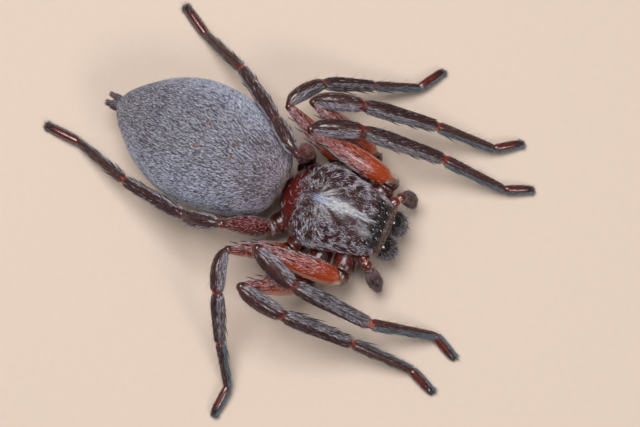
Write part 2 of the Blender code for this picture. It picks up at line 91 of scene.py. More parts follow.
# Abdomen, front to back: place, half width, and heights of middle, top and underside
ABDOMEN = (
    (-0.20, 1.00, 4.35, 5.30, 3.45),
    (-0.02, 1.80, 4.40, 5.95, 2.85),
    (0.65, 2.92, 4.45, 6.80, 2.00),
    (2.20, 3.86, 4.50, 7.65, 1.15),
    (4.20, 4.46, 4.50, 8.10, 0.80),
    (6.30, 4.74, 4.45, 8.20, 0.75),
    (8.50, 4.50, 4.40, 7.85, 0.85),
    (10.60, 3.58, 4.25, 7.05, 1.15),
    (12.30, 2.28, 3.95, 5.95, 1.65),
    (13.30, 1.30, 3.65, 4.85, 2.15),
    (13.72, 0.60, 3.50, 4.15, 2.65),
)
# Muscle spots of the abdomen's back: side offset and place
MUSCLE_SPOTS = ((0.62, 3.75), (0.98, 6.45))

# Waist between the fore body and the abdomen: path and half width
WAIST = ((0.0, -1.2, 3.35), (0.0, 0.6, 3.35))
WAIST_WIDTH = 0.50

# Eyes: side offset, place and radius
EYES = {
    "eye_front_median": (0.36, -8.28, 0.20),
    "eye_front_lateral": (1.02, -8.18, 0.21),
    "eye_rear_median": (0.55, -7.74, 0.19),
    "eye_rear_lateral": (1.62, -7.68, 0.20),
}
COLLAR_WIDTH = 0.055

# Paths and half widths of jaws, fangs, chewing lobes, lip, palps and spinnerets
JAW_PATH = ((0.98, -7.85, 3.75), (1.05, -9.25, 3.85), (0.92, -9.15, 1.75))
JAW_WIDTHS = ((0.0, 0.50), (0.30, 0.74), (0.60, 0.77), (0.85, 0.64), (1.0, 0.42))
FANG_PATH = ((0.96, -9.02, 1.55), (0.98, -8.98, 1.20), (0.88, -8.40, 0.70), (0.38, -8.06, 1.12))
FANG_WIDTHS = ((0.0, 0.24), (0.25, 0.25), (0.6, 0.17), (1.0, 0.03))
LOBE_PATH = ((0.98, -7.10, 2.25), (0.90, -7.90, 2.15), (0.50, -8.40, 2.45))
LOBE_WIDTHS = ((0.0, 0.30), (0.35, 0.34), (0.75, 0.36), (1.0, 0.26))
LIP_PATH = ((0.0, -6.60, 1.95), (0.0, -7.15, 1.90), (0.0, -7.70, 2.25))
LIP_WIDTHS = ((0.0, 0.36), (0.5, 0.36), (1.0, 0.24))
PALP_WIDTHS = (
    (0.0, 0.36), (0.18, 0.42), (0.30, 0.36), (0.36, 0.28), (0.42, 0.35), (0.50, 0.36), (0.56, 0.27),
    (0.62, 0.36), (0.74, 0.46), (0.88, 0.46), (1.0, 0.26),
)
PALP_PATHS = {
    "palp_left": ((2.00, -7.55, 3.00), (2.95, -8.35, 3.80), (3.60, -8.30, 3.75), (3.95, -8.75, 2.70),
                  (3.70, -9.25, 1.45)),
    "palp_right": ((-1.50, -7.70, 2.95), (-2.15, -8.00, 3.80), (-2.35, -8.35, 3.75), (-2.75, -9.25, 2.75),
                   (-3.20, -9.85, 1.45)),
}
SPINNERET_BASE = (13.45, 3.05)
SPINNERETS = ((0.34, -0.22, 0.27, 0.98), (0.30, 0.36, 0.23, 0.86))
SPINNERET_TAPER = ((0.0, 1.0), (0.62, 0.9), (0.70, 0.7), (1.0, 0.5))

# Legs, pair by pair: socket and trochanter on the left side, segment lengths and thickness
SOCKETS = {1: (1.3, -6.35, 2.75), 2: (1.5, -4.80, 2.45), 3: (1.4, -3.25, 2.45), 4: (1.0, -1.90, 2.55)}
TROCHANTERS = {
    1: (4.20, -6.95, 3.30), 2: (5.60, -4.90, 2.20), 3: (4.10, -2.60, 2.30), 4: (3.20, -0.50, 2.60),
}
SEGMENT_LENGTHS = {
    1: {"femur": 7.40, "patella": 3.74, "tibia": 7.05, "metatarsus": 5.80, "tarsus": 2.05},
    2: {"femur": 6.80, "patella": 3.62, "tibia": 6.35, "metatarsus": 5.38, "tarsus": 2.13},
    3: {"femur": 5.80, "patella": 3.18, "tibia": 4.62, "metatarsus": 3.98, "tarsus": 2.15},
    4: {"femur": 6.00, "patella": 3.28, "tibia": 6.46, "metatarsus": 5.74, "tarsus": 2.69},
}
LEG_THICKNESS = {1: 1.0, 2: 0.97, 3: 0.84, 4: 0.86}
ANKLE_HEIGHT = 0.66
TOE_HEIGHT = 0.33
FLOOR_GAP = 0.01

# Heading and slope of each segment in degrees; the last two slope just enough to reach the floor
LEG_POSES = {
    "left_1": {"femur": (88.7, 24.5), "patella": (-64.1, -1.6), "tibia": (-76.0, -25.9),
               "metatarsus": -83.4, "tarsus": -60.4},
    "left_2": {"femur": (82.3, 35.0), "patella": (-66.2, -3.0), "tibia": (-72.2, -25.6),
               "metatarsus": -77.4, "tarsus": -49.4},
    "left_3": {"femur": (75.6, 32.5), "patella": (-25.5, -12.6), "tibia": (-56.2, -32.0),
               "metatarsus": -58.1, "tarsus": -25.4},
    "left_4": {"femur": (177.5, 76.7), "patella": (57.0, -16.6), "tibia": (57.0, -33.2),
               "metatarsus": 67.5, "tarsus": 62.1},
    "right_1": {"femur": (102.8, 34.0), "patella": (-107.4, -8.0), "tibia": (-85.2, -29.9),
                "metatarsus": -68.9, "tarsus": -112.5},
    "right_2": {"femur": (129.0, 46.0), "patella": (-95.2, -16.0), "tibia": (-80.4, -31.5),
                "metatarsus": -83.9, "tarsus": -109.2},
    "right_3": {"femur": (123.4, 42.0), "patella": (-165.2, 0.5), "tibia": (-151.3, -45.9),
                "metatarsus": -143.4, "tarsus": 179.6},
    "right_4": {"femur": (126.7, 56.5), "patella": (100.7, -30.7), "tibia": (83.5, -27.6),
                "metatarsus": 75.3, "tarsus": 90.1},
}
FEMUR_BOW = 0.35
PATELLA_ARCH = 0.95

# Half thickness along each segment's bare skin, with the swollen ends that hold the joints
LEG_WIDTHS = {
    "coxa": (
        (0.0, 0.60), (0.30, 0.70), (0.60, 0.66), (0.70, 0.52), (0.76, 0.50), (0.88, 0.60), (1.0, 0.52),
    ),
    "femur": (
        (0.0, 0.50), (0.10, 0.74), (0.30, 0.85), (0.55, 0.77), (0.78, 0.57), (0.92, 0.42), (1.0, 0.36),
    ),
    "patella": (
        (0.0, 0.30), (0.12, 0.39), (0.35, 0.57), (0.65, 0.66), (0.88, 0.60), (0.96, 0.52), (1.0, 0.46),
    ),
    "tibia": (
        (0.0, 0.38), (0.06, 0.48), (0.30, 0.57), (0.60, 0.52), (0.88, 0.46), (0.96, 0.43), (1.0, 0.37),
    ),
    "metatarsus": ((0.0, 0.31), (0.08, 0.40), (0.50, 0.34), (0.85, 0.31), (1.0, 0.27)),
    "tarsus": ((0.0, 0.26), (0.12, 0.31), (0.60, 0.33), (0.88, 0.30), (1.0, 0.24)),
}
SEGMENTS = tuple(LEG_WIDTHS)

# Width of a lying hair at its root
HAIR_WIDTH = 0.046

# Camera over the animal's right side, as in the photograph
CAMERA_PLACE = (-0.023574, -0.016953, 0.160569)
CAMERA_AZIMUTH = -62.3
CAMERA_ELEVATION = 80.0
CAMERA_LENS = 120.0


def linear(text):
    """Linear colour of an sRGB hex value."""
    values = [int(text[i:i + 2], 16) / 255 for i in (1, 3, 5)]
    return np.array([v / 12.92 if v <= 0.04045 else ((v + 0.055) / 1.055) ** 2.4 for v in values])


def color_prop(name, description, text):
    return FloatVectorProperty(
        name=name, description=description, subtype="COLOR", size=3, min=0.0, max=1.0,
        default=tuple(linear(text)),
    )


def count_prop(name, description, default):
    return IntProperty(name=name, description=description, default=default, min=10)


def number_prop(name, description, default, unit_kind="NONE"):
    return FloatProperty(name=name, description=description, default=default, min=0.0, unit=unit_kind)


class SpiderSkinSettings(bpy.types.PropertyGroup):
    """Colours of the bare skin."""

    carapace: color_prop("Carapace", "Dark cuticle under the hairs of the carapace", "#331617")
    red: color_prop("Dark red", "Glossy red cuticle of the leg roots and the rear slope", "#5c150d")
    orange: color_prop("Orange", "Bare cuticle of the femora", "#9a380f")
    brown: color_prop("Leg brown", "Cuticle of the outer leg segments", "#42201d")
    membrane: color_prop("Membrane", "Soft pale skin at the joints", "#dca987")
    abdomen: color_prop("Abdomen", "Skin under the velvet of the abdomen", "#39343a")
    belly: color_prop("Belly", "Skin of the underside", "#5b4438")
    black: color_prop("Black", "Cuticle of jaws, fangs, claws and spines", "#0d0c0e")


class SpiderCoatSettings(bpy.types.PropertyGroup):
    """Number, size and colour of the hairs."""

    abdomen_hairs: count_prop("Abdomen hairs", "Hairs of the abdomen", 80000)
    carapace_hairs: count_prop("Carapace hairs", "Hairs of the carapace", 13500)
    leg_hairs: count_prop("Leg hairs", "Lying hairs of the largest leg", 15000)
    brush_hairs: count_prop("Sole brush hairs", "Hairs of each foot's brush", 5200)
    width: number_prop("Hair width", "Width that all kinds of hair follow", HAIR_WIDTH * MM, "LENGTH")
    silver: color_prop("Silver", "Palest hairs", "#ddd8e2")
    grey: color_prop("Grey", "Most hairs", "#9f99a8")
    dusk: color_prop("Dusk", "Dark grey-brown hairs", "#58454a")
    umber: color_prop("Umber", "Dark brown hairs of the leg tops", "#3a1d1a")
    slate: color_prop("Slate", "Blue-grey brush under the feet", "#76838f")
    rust: color_prop("Rust", "Brown-orange hairs round the face", "#8a5a40")


class SpiderStageSettings(bpy.types.PropertyGroup):
    """Floor and light."""

    floor: color_prop("Floor", "Pale studio floor", "#cfbcad")
    key_power: number_prop("Key light", "Power of the large soft lamp", 0.74, "POWER")
    fill_power: number_prop("Fill light", "Power of the opposite lamp", 0.20, "POWER")
    sky: number_prop("Sky", "Strength of the even light from all round", 0.16)


def unit(vectors):
    return vectors / np.maximum(np.linalg.norm(vectors, axis=-1, keepdims=True), 1e-12)


def numbers(value):
    """An array of numbers, also from a colour given as sRGB hex text."""
    return linear(value) if isinstance(value, str) else np.asarray(value)


def blend(low, high, share):
    """Mix two colours or arrays by a share for each row."""
    share = np.asarray(share)[..., None]
    return numbers(low) * (1 - share) + numbers(high) * share


def layered(base, *layers):
    """A base colour with others laid over it, each by a share for each point."""
    for color, share in layers:
        base = blend(base, color, share)
    return base


def step_up(value, low, high):
    """0 below low, 1 above high and a smooth rise between."""
    t = np.clip((value - low) / (high - low), 0.0, 1.0)
    return t * t * (3 - 2 * t)


def bump_at(value, centre, width):
    return np.exp(-(((value - centre) / width) ** 2))


def read_table(table, at):
    """Rows of a table at first-column values, on a smooth curve through them."""
    rows = np.array(table, float)
    i = np.clip(np.searchsorted(rows[:, 0], at, side="left") - 1, 0, len(rows) - 2)
    before, low, high, after = (rows[np.clip(i + k, 0, len(rows) - 1)] for k in (-1, 0, 1, 2))
    span = (high[..., 0] - low[..., 0])[..., None]
    t = (np.asarray(at) - low[..., 0])[..., None] / span
    slope_low = (high - before) * span / (high[..., :1] - before[..., :1])
    slope_high = (after - low) * span / (after[..., :1] - low[..., :1])
    return (
        low * (2 * t ** 3 - 3 * t ** 2 + 1)
        + slope_low * (t ** 3 - 2 * t ** 2 + t)
        + high * (3 * t ** 2 - 2 * t ** 3)
        + slope_high * (t ** 3 - t ** 2)
    )


def along_path(points, t):
    """Places and headings on the Bezier curve that the points steer."""
    t = np.asarray(t)[..., None]
    level = [np.broadcast_to(np.array(p, float), t.shape[:-1] + (3,)) for p in points]
    while len(level) > 2:
        level = [a + (b - a) * t for a, b in zip(level, level[1:])]
    return level[0] + (level[1] - level[0]) * t, unit(level[1] - level[0])


def blotches(points, size, seed):
    """Soft random blotches from 0 to 1, about as wide as the given size."""
    lattice = np.random.default_rng(seed).random((16, 16, 16))
    scaled = points / size
    low = np.floor(scaled).astype(int)
    t = scaled - low
    t = t * t * (3 - 2 * t)
    total = 0.0
    for corner in np.ndindex(2, 2, 2):
        weight = np.prod(np.where(corner, t, 1 - t), axis=-1)
        index = (low + corner) % 16
        total = total + weight * lattice[index[..., 0], index[..., 1], index[..., 2]]
    return total


def turned(points, degrees=FORE_TURN):
    """Turn places of the fore body to where the animal holds its head, or back with the negative turn."""
    c, s = math.cos(math.radians(degrees)), math.sin(math.radians(degrees))
    x, y, z = np.moveaxis(np.asarray(points, float) - TURN_POINT, -1, 0)
    return np.stack((x * c - y * s, x * s + y * c, z), -1) + TURN_POINT


def round_ends(u, share):
    """Split a run from 0 to 1 into the way along a form and the rounded closing of its two ends."""
    run = u * (1 + 2 * share) - share
    t = np.clip(run, 0.0, 1.0)
    past = (run - t) / share
    return t, np.sqrt(np.maximum(1 - past ** 2, 0.0)), past


class Surface:
    """A closed skin whose points follow a rule: u runs along it and v round it, both from 0 to 1."""

    # Step of u and v over which directions are taken
    nudge = 0.003

    def __init__(self, rule):
        self.rule = rule

    def axes(self, u, v):
        """Points, and the directions along, around and out of the skin."""
        here = self.rule(u, v)
        ahead, behind = np.minimum(u + self.nudge, 1), np.maximum(u - self.nudge, 0)
        along = unit(self.rule(ahead, v) - self.rule(behind, v))
        around = unit(self.rule(u, v + self.nudge) - self.rule(u, v - self.nudge))
        return here, along, around, unit(np.cross(along, around))

    def lie(self, u, v):
        """Distances in millimetres along and round the skin."""
        steps = np.linspace(0, 1, 81)
        line = self.rule(steps, np.full(81, 0.25))
        way = np.concatenate(([0.0], np.cumsum(np.linalg.norm(np.diff(line, axis=0), axis=1))))
        ring = self.rule(np.full(64, 0.5), np.arange(64) / 64)
        girth = np.linalg.norm(ring - np.roll(ring, 1, axis=0), axis=1).sum()
        return np.stack((np.interp(u, steps, way), v * girth), -1)

    def grid(self, rows, sides):
        """Points and triangles of the whole skin, closed with one point at each end, with u and v."""
        u = np.repeat(np.linspace(0, 1, rows + 1)[1:-1], sides)
        v = np.tile(np.arange(sides) / sides, rows - 1)
        u = np.concatenate(([0.0], u, [1.0]))
        v = np.concatenate(([0.0], v, [0.0]))
        ring = np.arange(rows - 2)[:, None] * sides + 1
        a = (ring + np.arange(sides)).ravel()
        d = (ring + (np.arange(sides) + 1) % sides).ravel()
        b, c = a + sides, d + sides
        first = 1 + np.arange(sides)
        last = 1 + (rows - 2) * sides + np.arange(sides)
        faces = np.concatenate((
            np.stack((a, b, c), 1),
            np.stack((a, c, d), 1),
            np.stack((np.zeros(sides, int), first, np.roll(first, -1)), 1),
            np.stack((last, np.full(sides, len(u) - 1), np.roll(last, -1)), 1),
        ))
        return self.rule(u, v), faces, u, v

    def scatter(self, count, rng, density, rows, sides, low=0.0, high=1.0):
        """Spread root places evenly over the skin, thinned by a density between 0 and 1."""
        edge_u = np.linspace(low, high, rows + 1)
        edge_v = np.arange(sides + 1) / sides
        points = self.rule(*np.meshgrid(edge_u, edge_v, indexing="ij"))
        across = points[1:, :-1] - points[:-1, :-1]
        beside = points[:-1, 1:] - points[:-1, :-1]
        area = np.linalg.norm(np.cross(across, beside), axis=-1)
        if density is not None:
            middles = ((edges[1:] + edges[:-1]) / 2 for edges in (edge_u, edge_v))
            area = area * density(*np.meshgrid(*middles, indexing="ij"))
        total = np.cumsum(area.ravel())
        pick = np.searchsorted(total, (np.arange(count) + rng.random(count)) / count * total[-1])
        i, j = np.divmod(np.minimum(pick, rows * sides - 1), sides)
        u = edge_u[i] + rng.random(count) * (high - low) / rows
        return u, (j + rng.random(count)) / sides


def new_piece(name, points, faces, material, tint=None):
    """A mesh object from points in millimetres of the animal's frame and triangles."""
    mesh = bpy.data.meshes.new(name)
    places = ((points + STANCE) * MM).astype(np.float32)
    mesh.vertices.add(len(places))
    mesh.vertices.foreach_set("co", places.ravel())
    mesh.loops.add(faces.size)
    mesh.loops.foreach_set("vertex_index", faces.astype(np.int32).ravel())
    mesh.polygons.add(len(faces))
    mesh.polygons.foreach_set("loop_start", np.arange(0, faces.size, 3, dtype=np.int32))
    mesh.polygons.foreach_set("use_smooth", np.full(len(faces), True))
    mesh.update(calc_edges=True)
    if tint is not None:
        layer = mesh.attributes.new("Tint", "FLOAT_COLOR", "POINT")
        layer.data.foreach_set("color", np.c_[tint, np.ones(len(tint))].astype(np.float32).ravel())
    mesh.materials.append(material)
    obj = bpy.data.objects.new(name, mesh)
    bpy.context.scene.collection.objects.link(obj)
    return obj


def set_map(obj, name, coordinates):
    """A UV map from one pair of numbers for each point."""
    mesh = obj.data
    corners = np.empty(len(mesh.loops), np.int32)
    mesh.loops.foreach_get("vertex_index", corners)
    layer = mesh.uv_layers.new(name=name)
    layer.uv.foreach_set("vector", coordinates[corners].astype(np.float32).ravel())


def set_number(obj, name, values):
    layer = obj.data.attributes.new(name, "FLOAT", "POINT")
    layer.data.foreach_set("value", values.astype(np.float32))


def joined(parts):
    """Points and triangles of several meshes in one."""
    points, faces, start = [], [], 0
    for some_points, some_faces in parts:
        points.append(some_points)
        faces.append(some_faces + start)
        start += len(some_points)
    return np.concatenate(points), np.concatenate(faces)


def place(obj, slot, *nodes):
    """Let a finished piece ride with the animal and stand for the nodes it dresses."""
    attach(obj, "root")
    if nodes:
        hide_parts(*nodes)


def hairs(roots, ways, outs, lengths, widths, lift, droop, curl, rings):
    """Thin three-sided hairs that taper to a point, each closed at its root.

    A hair leaves along its way, rises by its lift, comes back by its droop and bends sideways by its curl,
    all as shares of its length.
    """
    beside = unit(np.cross(ways, outs))
    angles = np.radians((90.0, 210.0, 330.0))
    cells = []
    for k in range(rings + 1):
        f = k / rings
        rise = lift * f - droop * f * f
        centre = roots + ways * (lengths * f)[:, None] + outs * (lengths * rise)[:, None]
        centre = centre + beside * (lengths * curl * f * f)[:, None]
        if k == rings:
            cells.append(centre[:, None, :])
            break
        half = (widths * 0.5 * (1 - f * 0.55))[:, None, None]
        ring = beside[:, None, :] * np.cos(angles)[None, :, None]
        ring = ring + outs[:, None, :] * (np.sin(angles) * 0.7)[None, :, None]
        cells.append(centre[:, None, :] + ring * half)
    points = np.concatenate(cells, axis=1)
    # No hair reaches under the floor
    points[..., 2] = np.maximum(points[..., 2], FLOOR_GAP)
    count = len(roots)
    size = points.shape[1]
    pattern = [(0, 2, 1)]
    for k in range(rings - 1):
        for i in range(3):
            j = (i + 1) % 3
            a, b, c, d = 3 * k + i, 3 * k + j, 3 * k + 3 + j, 3 * k + 3 + i
            pattern += [(a, b, c), (a, c, d)]
    base = 3 * (rings - 1)
    pattern += [(base + i, base + (i + 1) % 3, size - 1) for i in range(3)]
    faces = (np.arange(count)[:, None, None] * size + np.array(pattern)[None]).reshape(-1, 3)
    return points.reshape(-1, 3), faces, size


# Size of a hair's patch on the bake map
PATCH_REACH = 0.0015


def coat_piece(name, batches):
    """Join batches of hairs in one coat, with colour and a bake patch for each hair at its root.

    A batch is a dict of what hairs() takes, with the tint and the spot of each hair, where spot is the
    root's place on the unwrapped skin.
    """
    parts, tints, spots = [], [], []
    for b in batches:
        points, faces, size = hairs(**{key: b[key] for key in b if key not in ("tint", "spot")})
        # Each hair is painted darker at its root and lighter at its tip: painted shade down in the coat,
        # painted light on the tips
        shade = np.linspace(0.72, 1.12, b["rings"] + 1)
        shade = np.concatenate((np.repeat(shade[:-1], 3), shade[-1:]))
        parts.append((points, faces))
        tints.append((b["tint"][:, None, :] * shade[None, :, None]).reshape(-1, 3))
        turn = np.arange(size) * math.tau / 3
        reach = PATCH_REACH * (1 - 0.6 * np.arange(size) / size)
        patch = np.stack((np.cos(turn) * reach, np.sin(turn) * reach), 1)
        spots.append((b["spot"][:, None, :] + patch[None]).reshape(-1, 2))
    material = shared("lying hair", silky_hair, 0.48, 0.28)
    coat = new_piece(name, *joined(parts), material, np.clip(np.concatenate(tints), 0, 1))
    set_map(coat, "OFBake", np.concatenate(spots))
    return coat


# Each kind of hair: length, width, lift, droop, rings, depth of the root, stray and curl
HAIR_KINDS = {
    "carapace undercoat": (0.30, 0.034, 0.08, 0.12, 2, 0.020, 0.45, 0.9),
    "carapace stroke": (0.36, 0.038, 0.26, 0.12, 2, 0.020, 0.45, 0.9),
    "ridge": (0.60, 0.038, 0.20, 0.10, 2, 0.010, 0.14, 0.2),
    "brow": (0.30, 0.030, 0.60, 0.25, 2, 0.020, 0.50, 0.4),
    "velvet": (0.24, 0.043, 0.18, 0.0, 1, 0.010, 0.15, 0.0),
    "abdomen tall": (0.38, 0.022, 0.65, 0.30, 2, 0.020, 0.35, 0.0),
    "spinneret": (0.24, 0.024, 0.35, 0.0, 1, 0.020, 0.25, 0.0),
    "jaw bristle": (0.26, 0.028, 0.55, 0.10, 2, 0.020, 0.45, 0.3),
    "long jaw bristle": (0.42, 0.024, 1.00, 0.35, 3, 0.020, 0.50, 0.3),
    "mouth fringe": (0.24, 0.026, 0.45, 0.10, 2, 0.020, 0.30, 0.3),
    "palp fur": (0.27, 0.030, 0.28, 0.10, 2, 0.020, 0.28, 0.2),
    "stiff palp hair": (0.45, 0.022, 0.60, 0.20, 3, 0.020, 0.30, 0.2),
    "coxa": (0.30, 0.0414, 0.30, 0.0, 1, 0.015, 0.30, 0.0),
    "femur": (0.34, 0.0345, 0.12, 0.0, 1, 0.015, 0.18, 0.0),
    "patella": (0.38, 0.0414, 0.18, 0.0, 1, 0.015, 0.18, 0.0),
    "tibia": (0.44, 0.0414, 0.18, 0.0, 1, 0.015, 0.14, 0.0),
    "metatarsus": (0.32, 0.0414, 0.24, 0.0, 1, 0.015, 0.20, 0.0),
    "tarsus": (0.24, 0.0414, 0.28, 0.0, 1, 0.015, 0.25, 0.0),
    "leg tall": (0.55, 0.020, 0.80, 0.30, 2, 0.020, 0.30, 0.0),
    # The brushes under the feet each multiply this by a length of their own
    "sole": (1.0, 0.026, 1.10, 0.0, 1, 0.015, 0.20, 0.0),
}


def batch(surface, u, v, rng, kind, tint, way=(1.0, 0.0), spot=None):
    """Hairs of a kind rooted at u and v that lie along and around the skin by the way, a little astray.

    The paler a hair, the further it rises, so pale hairs lie over the darker undercoat.
    """
    length, width, lift, droop, rings, sink, stray, curl = HAIR_KINDS[kind]
    width = width * bpy.context.scene.spider_coat.width / (HAIR_WIDTH * MM)
    here, along, around, out = surface.axes(u, v)
    turn = rng.normal(0, stray, len(u))
    lie = along * np.asarray(way[0])[..., None] + around * np.asarray(way[1])[..., None]
    side = np.cross(out, lie)
    lie = unit(lie * np.cos(turn)[:, None] + side * np.sin(turn)[:, None])
    spread = rng.uniform(0.7, 1.25, len(u))
    return {
        "roots": here - out * sink,
        "ways": lie,
        "outs": out,
        "lengths": length * spread,
        "widths": width * rng.uniform(0.75, 1.25, len(u)),
        "lift": lift * rng.uniform(0.7, 1.3, len(u)) * (0.45 + 1.1 * evened(tint.sum(1))),
        "droop": droop,
        "curl": curl * rng.normal(0, 0.5, len(u)),
        "rings": rings,
        "tint": tint,
        "spot": strip_spot(u, v) if spot is None else spot,
    }


def grow(surface, rng, count, kind, tints, density=None, grid=(50, 48), ends=(0.0, 1.0), strip=(0, 1)):
    """Scatter hairs of a kind that lie along a skin; tints are pairs for pick_tint or a rule for them."""
    u, v = surface.scatter(count, rng, density, *grid, *ends)
    tint = pick_tint(rng, count, *(tints(u, v) if callable(tints) else tints))
    return batch(surface, u, v, rng, kind, tint, spot=strip_spot(u, v, *strip))


def evened(values):
    """The values' ranks, spread evenly from 0 to 1."""
    return (np.argsort(np.argsort(values)) + 0.5) / len(values)


def clumps(surface, u, v, size, seed):
    """A number from 0 to 1 for each root, alike for neighbours within a lock about as wide as the size."""
    along, around = surface.lie(u, v).T
    return evened(blotches(np.stack((along * 0.3, around, np.zeros(len(u))), 1), size, seed))


def pick_tint(rng, count, *choices, clump=None):
    """A colour for each hair, drawn from pairs of a colour and its share, each share a number or an array.

    Hairs of a clump draw alike: low numbers take the first colours.
    """
    shares = np.array([np.broadcast_to(share, count) for _, share in choices], float)
    edges = np.cumsum(shares / shares.sum(0), axis=0)
    chance = rng.random(count)
    if clump is not None:
        chance = evened(0.60 * chance + 0.40 * clump)
    index = (chance[None] > edges).sum(0).clip(0, len(choices) - 1)
    tint = np.array([numbers(color) for color, _ in choices])[index]
    return tint * rng.uniform(0.82, 1.18, (count, 1))


def strip_spot(u, v, index=0, strips=1):
    """Place on the unwrapped skin: strips side by side, each with u along it and v across."""
    return np.stack((0.01 + 0.98 * (index + 0.04 + 0.92 * (v % 1.0)) / strips, 0.02 + 0.96 * u), 1)


def add_node(tree, kind, values=None, links=None, **settings):
    """Add a shader node with its settings, socket values and incoming links."""
    node = tree.nodes.new(kind)
    for key, value in settings.items():
        setattr(node, key, value)
    for key, value in (values or {}).items():
        node.inputs[key].default_value = value
    for key, source in (links or {}).items():
        tree.links.new(source, node.inputs[key])
    return node


def new_material(name, roughness, coat=0.0, coat_roughness=0.1, sheen=0.0, specular=0.5, ior=1.5):
    """A Principled material with the values that hold all over the surface."""
    material = bpy.data.materials.new(name)
    material.use_nodes = True
    tree = material.node_tree
    shader = tree.nodes["Principled BSDF"]
    for key, value in (
        ("Roughness", roughness),
        ("Coat Weight", coat),
        ("Coat Roughness", coat_roughness),
        ("Sheen Weight", sheen),
        ("Specular IOR Level", specular),
        ("IOR", ior),
    ):
        shader.inputs[key].default_value = value
    return material, tree, shader


def color_by_tint(tree, shader, noise, low, high):
    """Give the shader the colour painted on the mesh, which the noise darkens and lightens."""
    tint = add_node(tree, "ShaderNodeAttribute", attribute_name="Tint")
    shade = add_node(
        tree, "ShaderNodeMapRange", {"To Min": low, "To Max": high}, {"Value": noise.outputs["Fac"]}
    )
    color = add_node(
        tree, "ShaderNodeMix", {"Factor": 1.0}, {6: tint.outputs["Color"], 7: shade.outputs["Result"]},
        data_type="RGBA", blend_type="MULTIPLY",
    )
    tree.links.new(color.outputs[2], shader.inputs["Base Color"])


def waxy_cuticle(name, grain, streak, roughness, coat, depth, sheen=0.0, polish=0.0):
    """Arthropod cuticle, hardened and waxed by the animal: mottled colour, fine ridges, a wet shine.

    grain and streak are millimetres: the size of the mottling and the spacing of the ridges. polish is how
    much smoother the cuticle is where its Gloss is 1.
    """
    material, tree, shader = new_material(name, roughness, coat, 0.12, sheen)
    where = add_node(tree, "ShaderNodeTexCoord").outputs["Object"]
    mottle = add_node(
        tree, "ShaderNodeTexNoise", {"Scale": 1 / (grain * MM), "Detail": 4.0, "Roughness": 0.6},
        {"Vector": where},
    )
    color_by_tint(tree, shader, mottle, 0.62, 1.35)
    lie = add_node(tree, "ShaderNodeUVMap", uv_map="Lie")
    stretch = add_node(
        tree, "ShaderNodeMapping", {"Scale": (1 / (streak * 5), 1 / streak, 1.0)},
        {"Vector": lie.outputs["UV"]},
    )
    ridges = add_node(
        tree, "ShaderNodeTexNoise", {"Scale": 1.0, "Detail": 2.0, "Roughness": 0.5},
        {"Vector": stretch.outputs["Vector"]},
    )
    bump = add_node(
        tree, "ShaderNodeBump", {"Strength": 1.0, "Distance": depth * MM}, {"Height": ridges.outputs["Fac"]}
    )
    tree.links.new(bump.outputs["Normal"], shader.inputs["Normal"])
    dull = add_node(
        tree, "ShaderNodeMapRange", {"To Min": roughness * 0.75, "To Max": min(roughness * 1.4, 1.0)},
        {"Value": mottle.outputs["Fac"]},
    )
    if polish:
        gloss = add_node(tree, "ShaderNodeAttribute", attribute_name="Gloss")
        smooth = add_node(
            tree, "ShaderNodeMapRange", {"To Min": 1.0, "To Max": 1.0 - polish},
            {"Value": gloss.outputs["Fac"]},
        )
        final = add_node(
            tree, "ShaderNodeMath", {}, {0: dull.outputs["Result"], 1: smooth.outputs["Result"]},
            operation="MULTIPLY",
        )
        tree.links.new(final.outputs["Value"], shader.inputs["Roughness"])
        tree.links.new(gloss.outputs["Fac"], shader.inputs["Coat Weight"])
    else:
        tree.links.new(dull.outputs["Result"], shader.inputs["Roughness"])
    return material


def silky_hair(name, roughness, specular):
    """Chitin hairs: hollow and smooth, so each keeps its own colour and a silky glint."""
    material, tree, shader = new_material(name, roughness, specular=specular, ior=1.55)
    where = add_node(tree, "ShaderNodeTexCoord").outputs["Object"]
    # Patches a millimetre wide, as the coat is a little uneven
    patches = add_node(
        tree, "ShaderNodeTexNoise", {"Scale": 1 / (1.1 * MM), "Detail": 2.0}, {"Vector": where}
    )
    color_by_tint(tree, shader, patches, 0.86, 1.14)
    return material


def polished_chitin(name, color, roughness, coat):
    """Thick black cuticle worn smooth, as on spines, fangs and claws: deep colour and sharp glints."""
    material, tree, shader = new_material(name, roughness, coat, 0.06)
    where = add_node(tree, "ShaderNodeTexCoord").outputs["Object"]
    # Growth lines a twentieth of a millimetre apart
    lines = add_node(
        tree, "ShaderNodeTexNoise", {"Scale": 1 / (0.05 * MM), "Detail": 3.0}, {"Vector": where}
    )
    ramp = add_node(
        tree, "ShaderNodeMix", {6: (*(color * 0.7), 1.0), 7: (*(color * 1.8), 1.0)},
        {"Factor": lines.outputs["Fac"]}, data_type="RGBA",
    )
    tree.links.new(ramp.outputs[2], shader.inputs["Base Color"])
    bump = add_node(
        tree, "ShaderNodeBump", {"Strength": 0.6, "Distance": 0.004 * MM}, {"Height": lines.outputs["Fac"]}
    )
    tree.links.new(bump.outputs["Normal"], shader.inputs["Normal"])
    return material


def shared(name, maker, *values):
    """Make a material once and give the same one each time after."""
    return bpy.data.materials.get(name) or maker(name, *values)


def leg_skin_material():
    return shared("leg cuticle", waxy_cuticle, 0.35, 0.045, 0.42, 0.35, 0.010, 0.0, 0.62)


def black_material():
    color = np.array(bpy.context.scene.spider_skin.black)
    return shared("polished black chitin", polished_chitin, color, 0.22, 0.6)


# Rays of the carapace from its pit: degrees from straight ahead, depth and reach
CARAPACE_RAYS = ((30.0, 0.10, 3.6), (62.0, 0.055, 2.7), (92.0, 0.055, 2.5), (125.0, 0.05, 2.2))


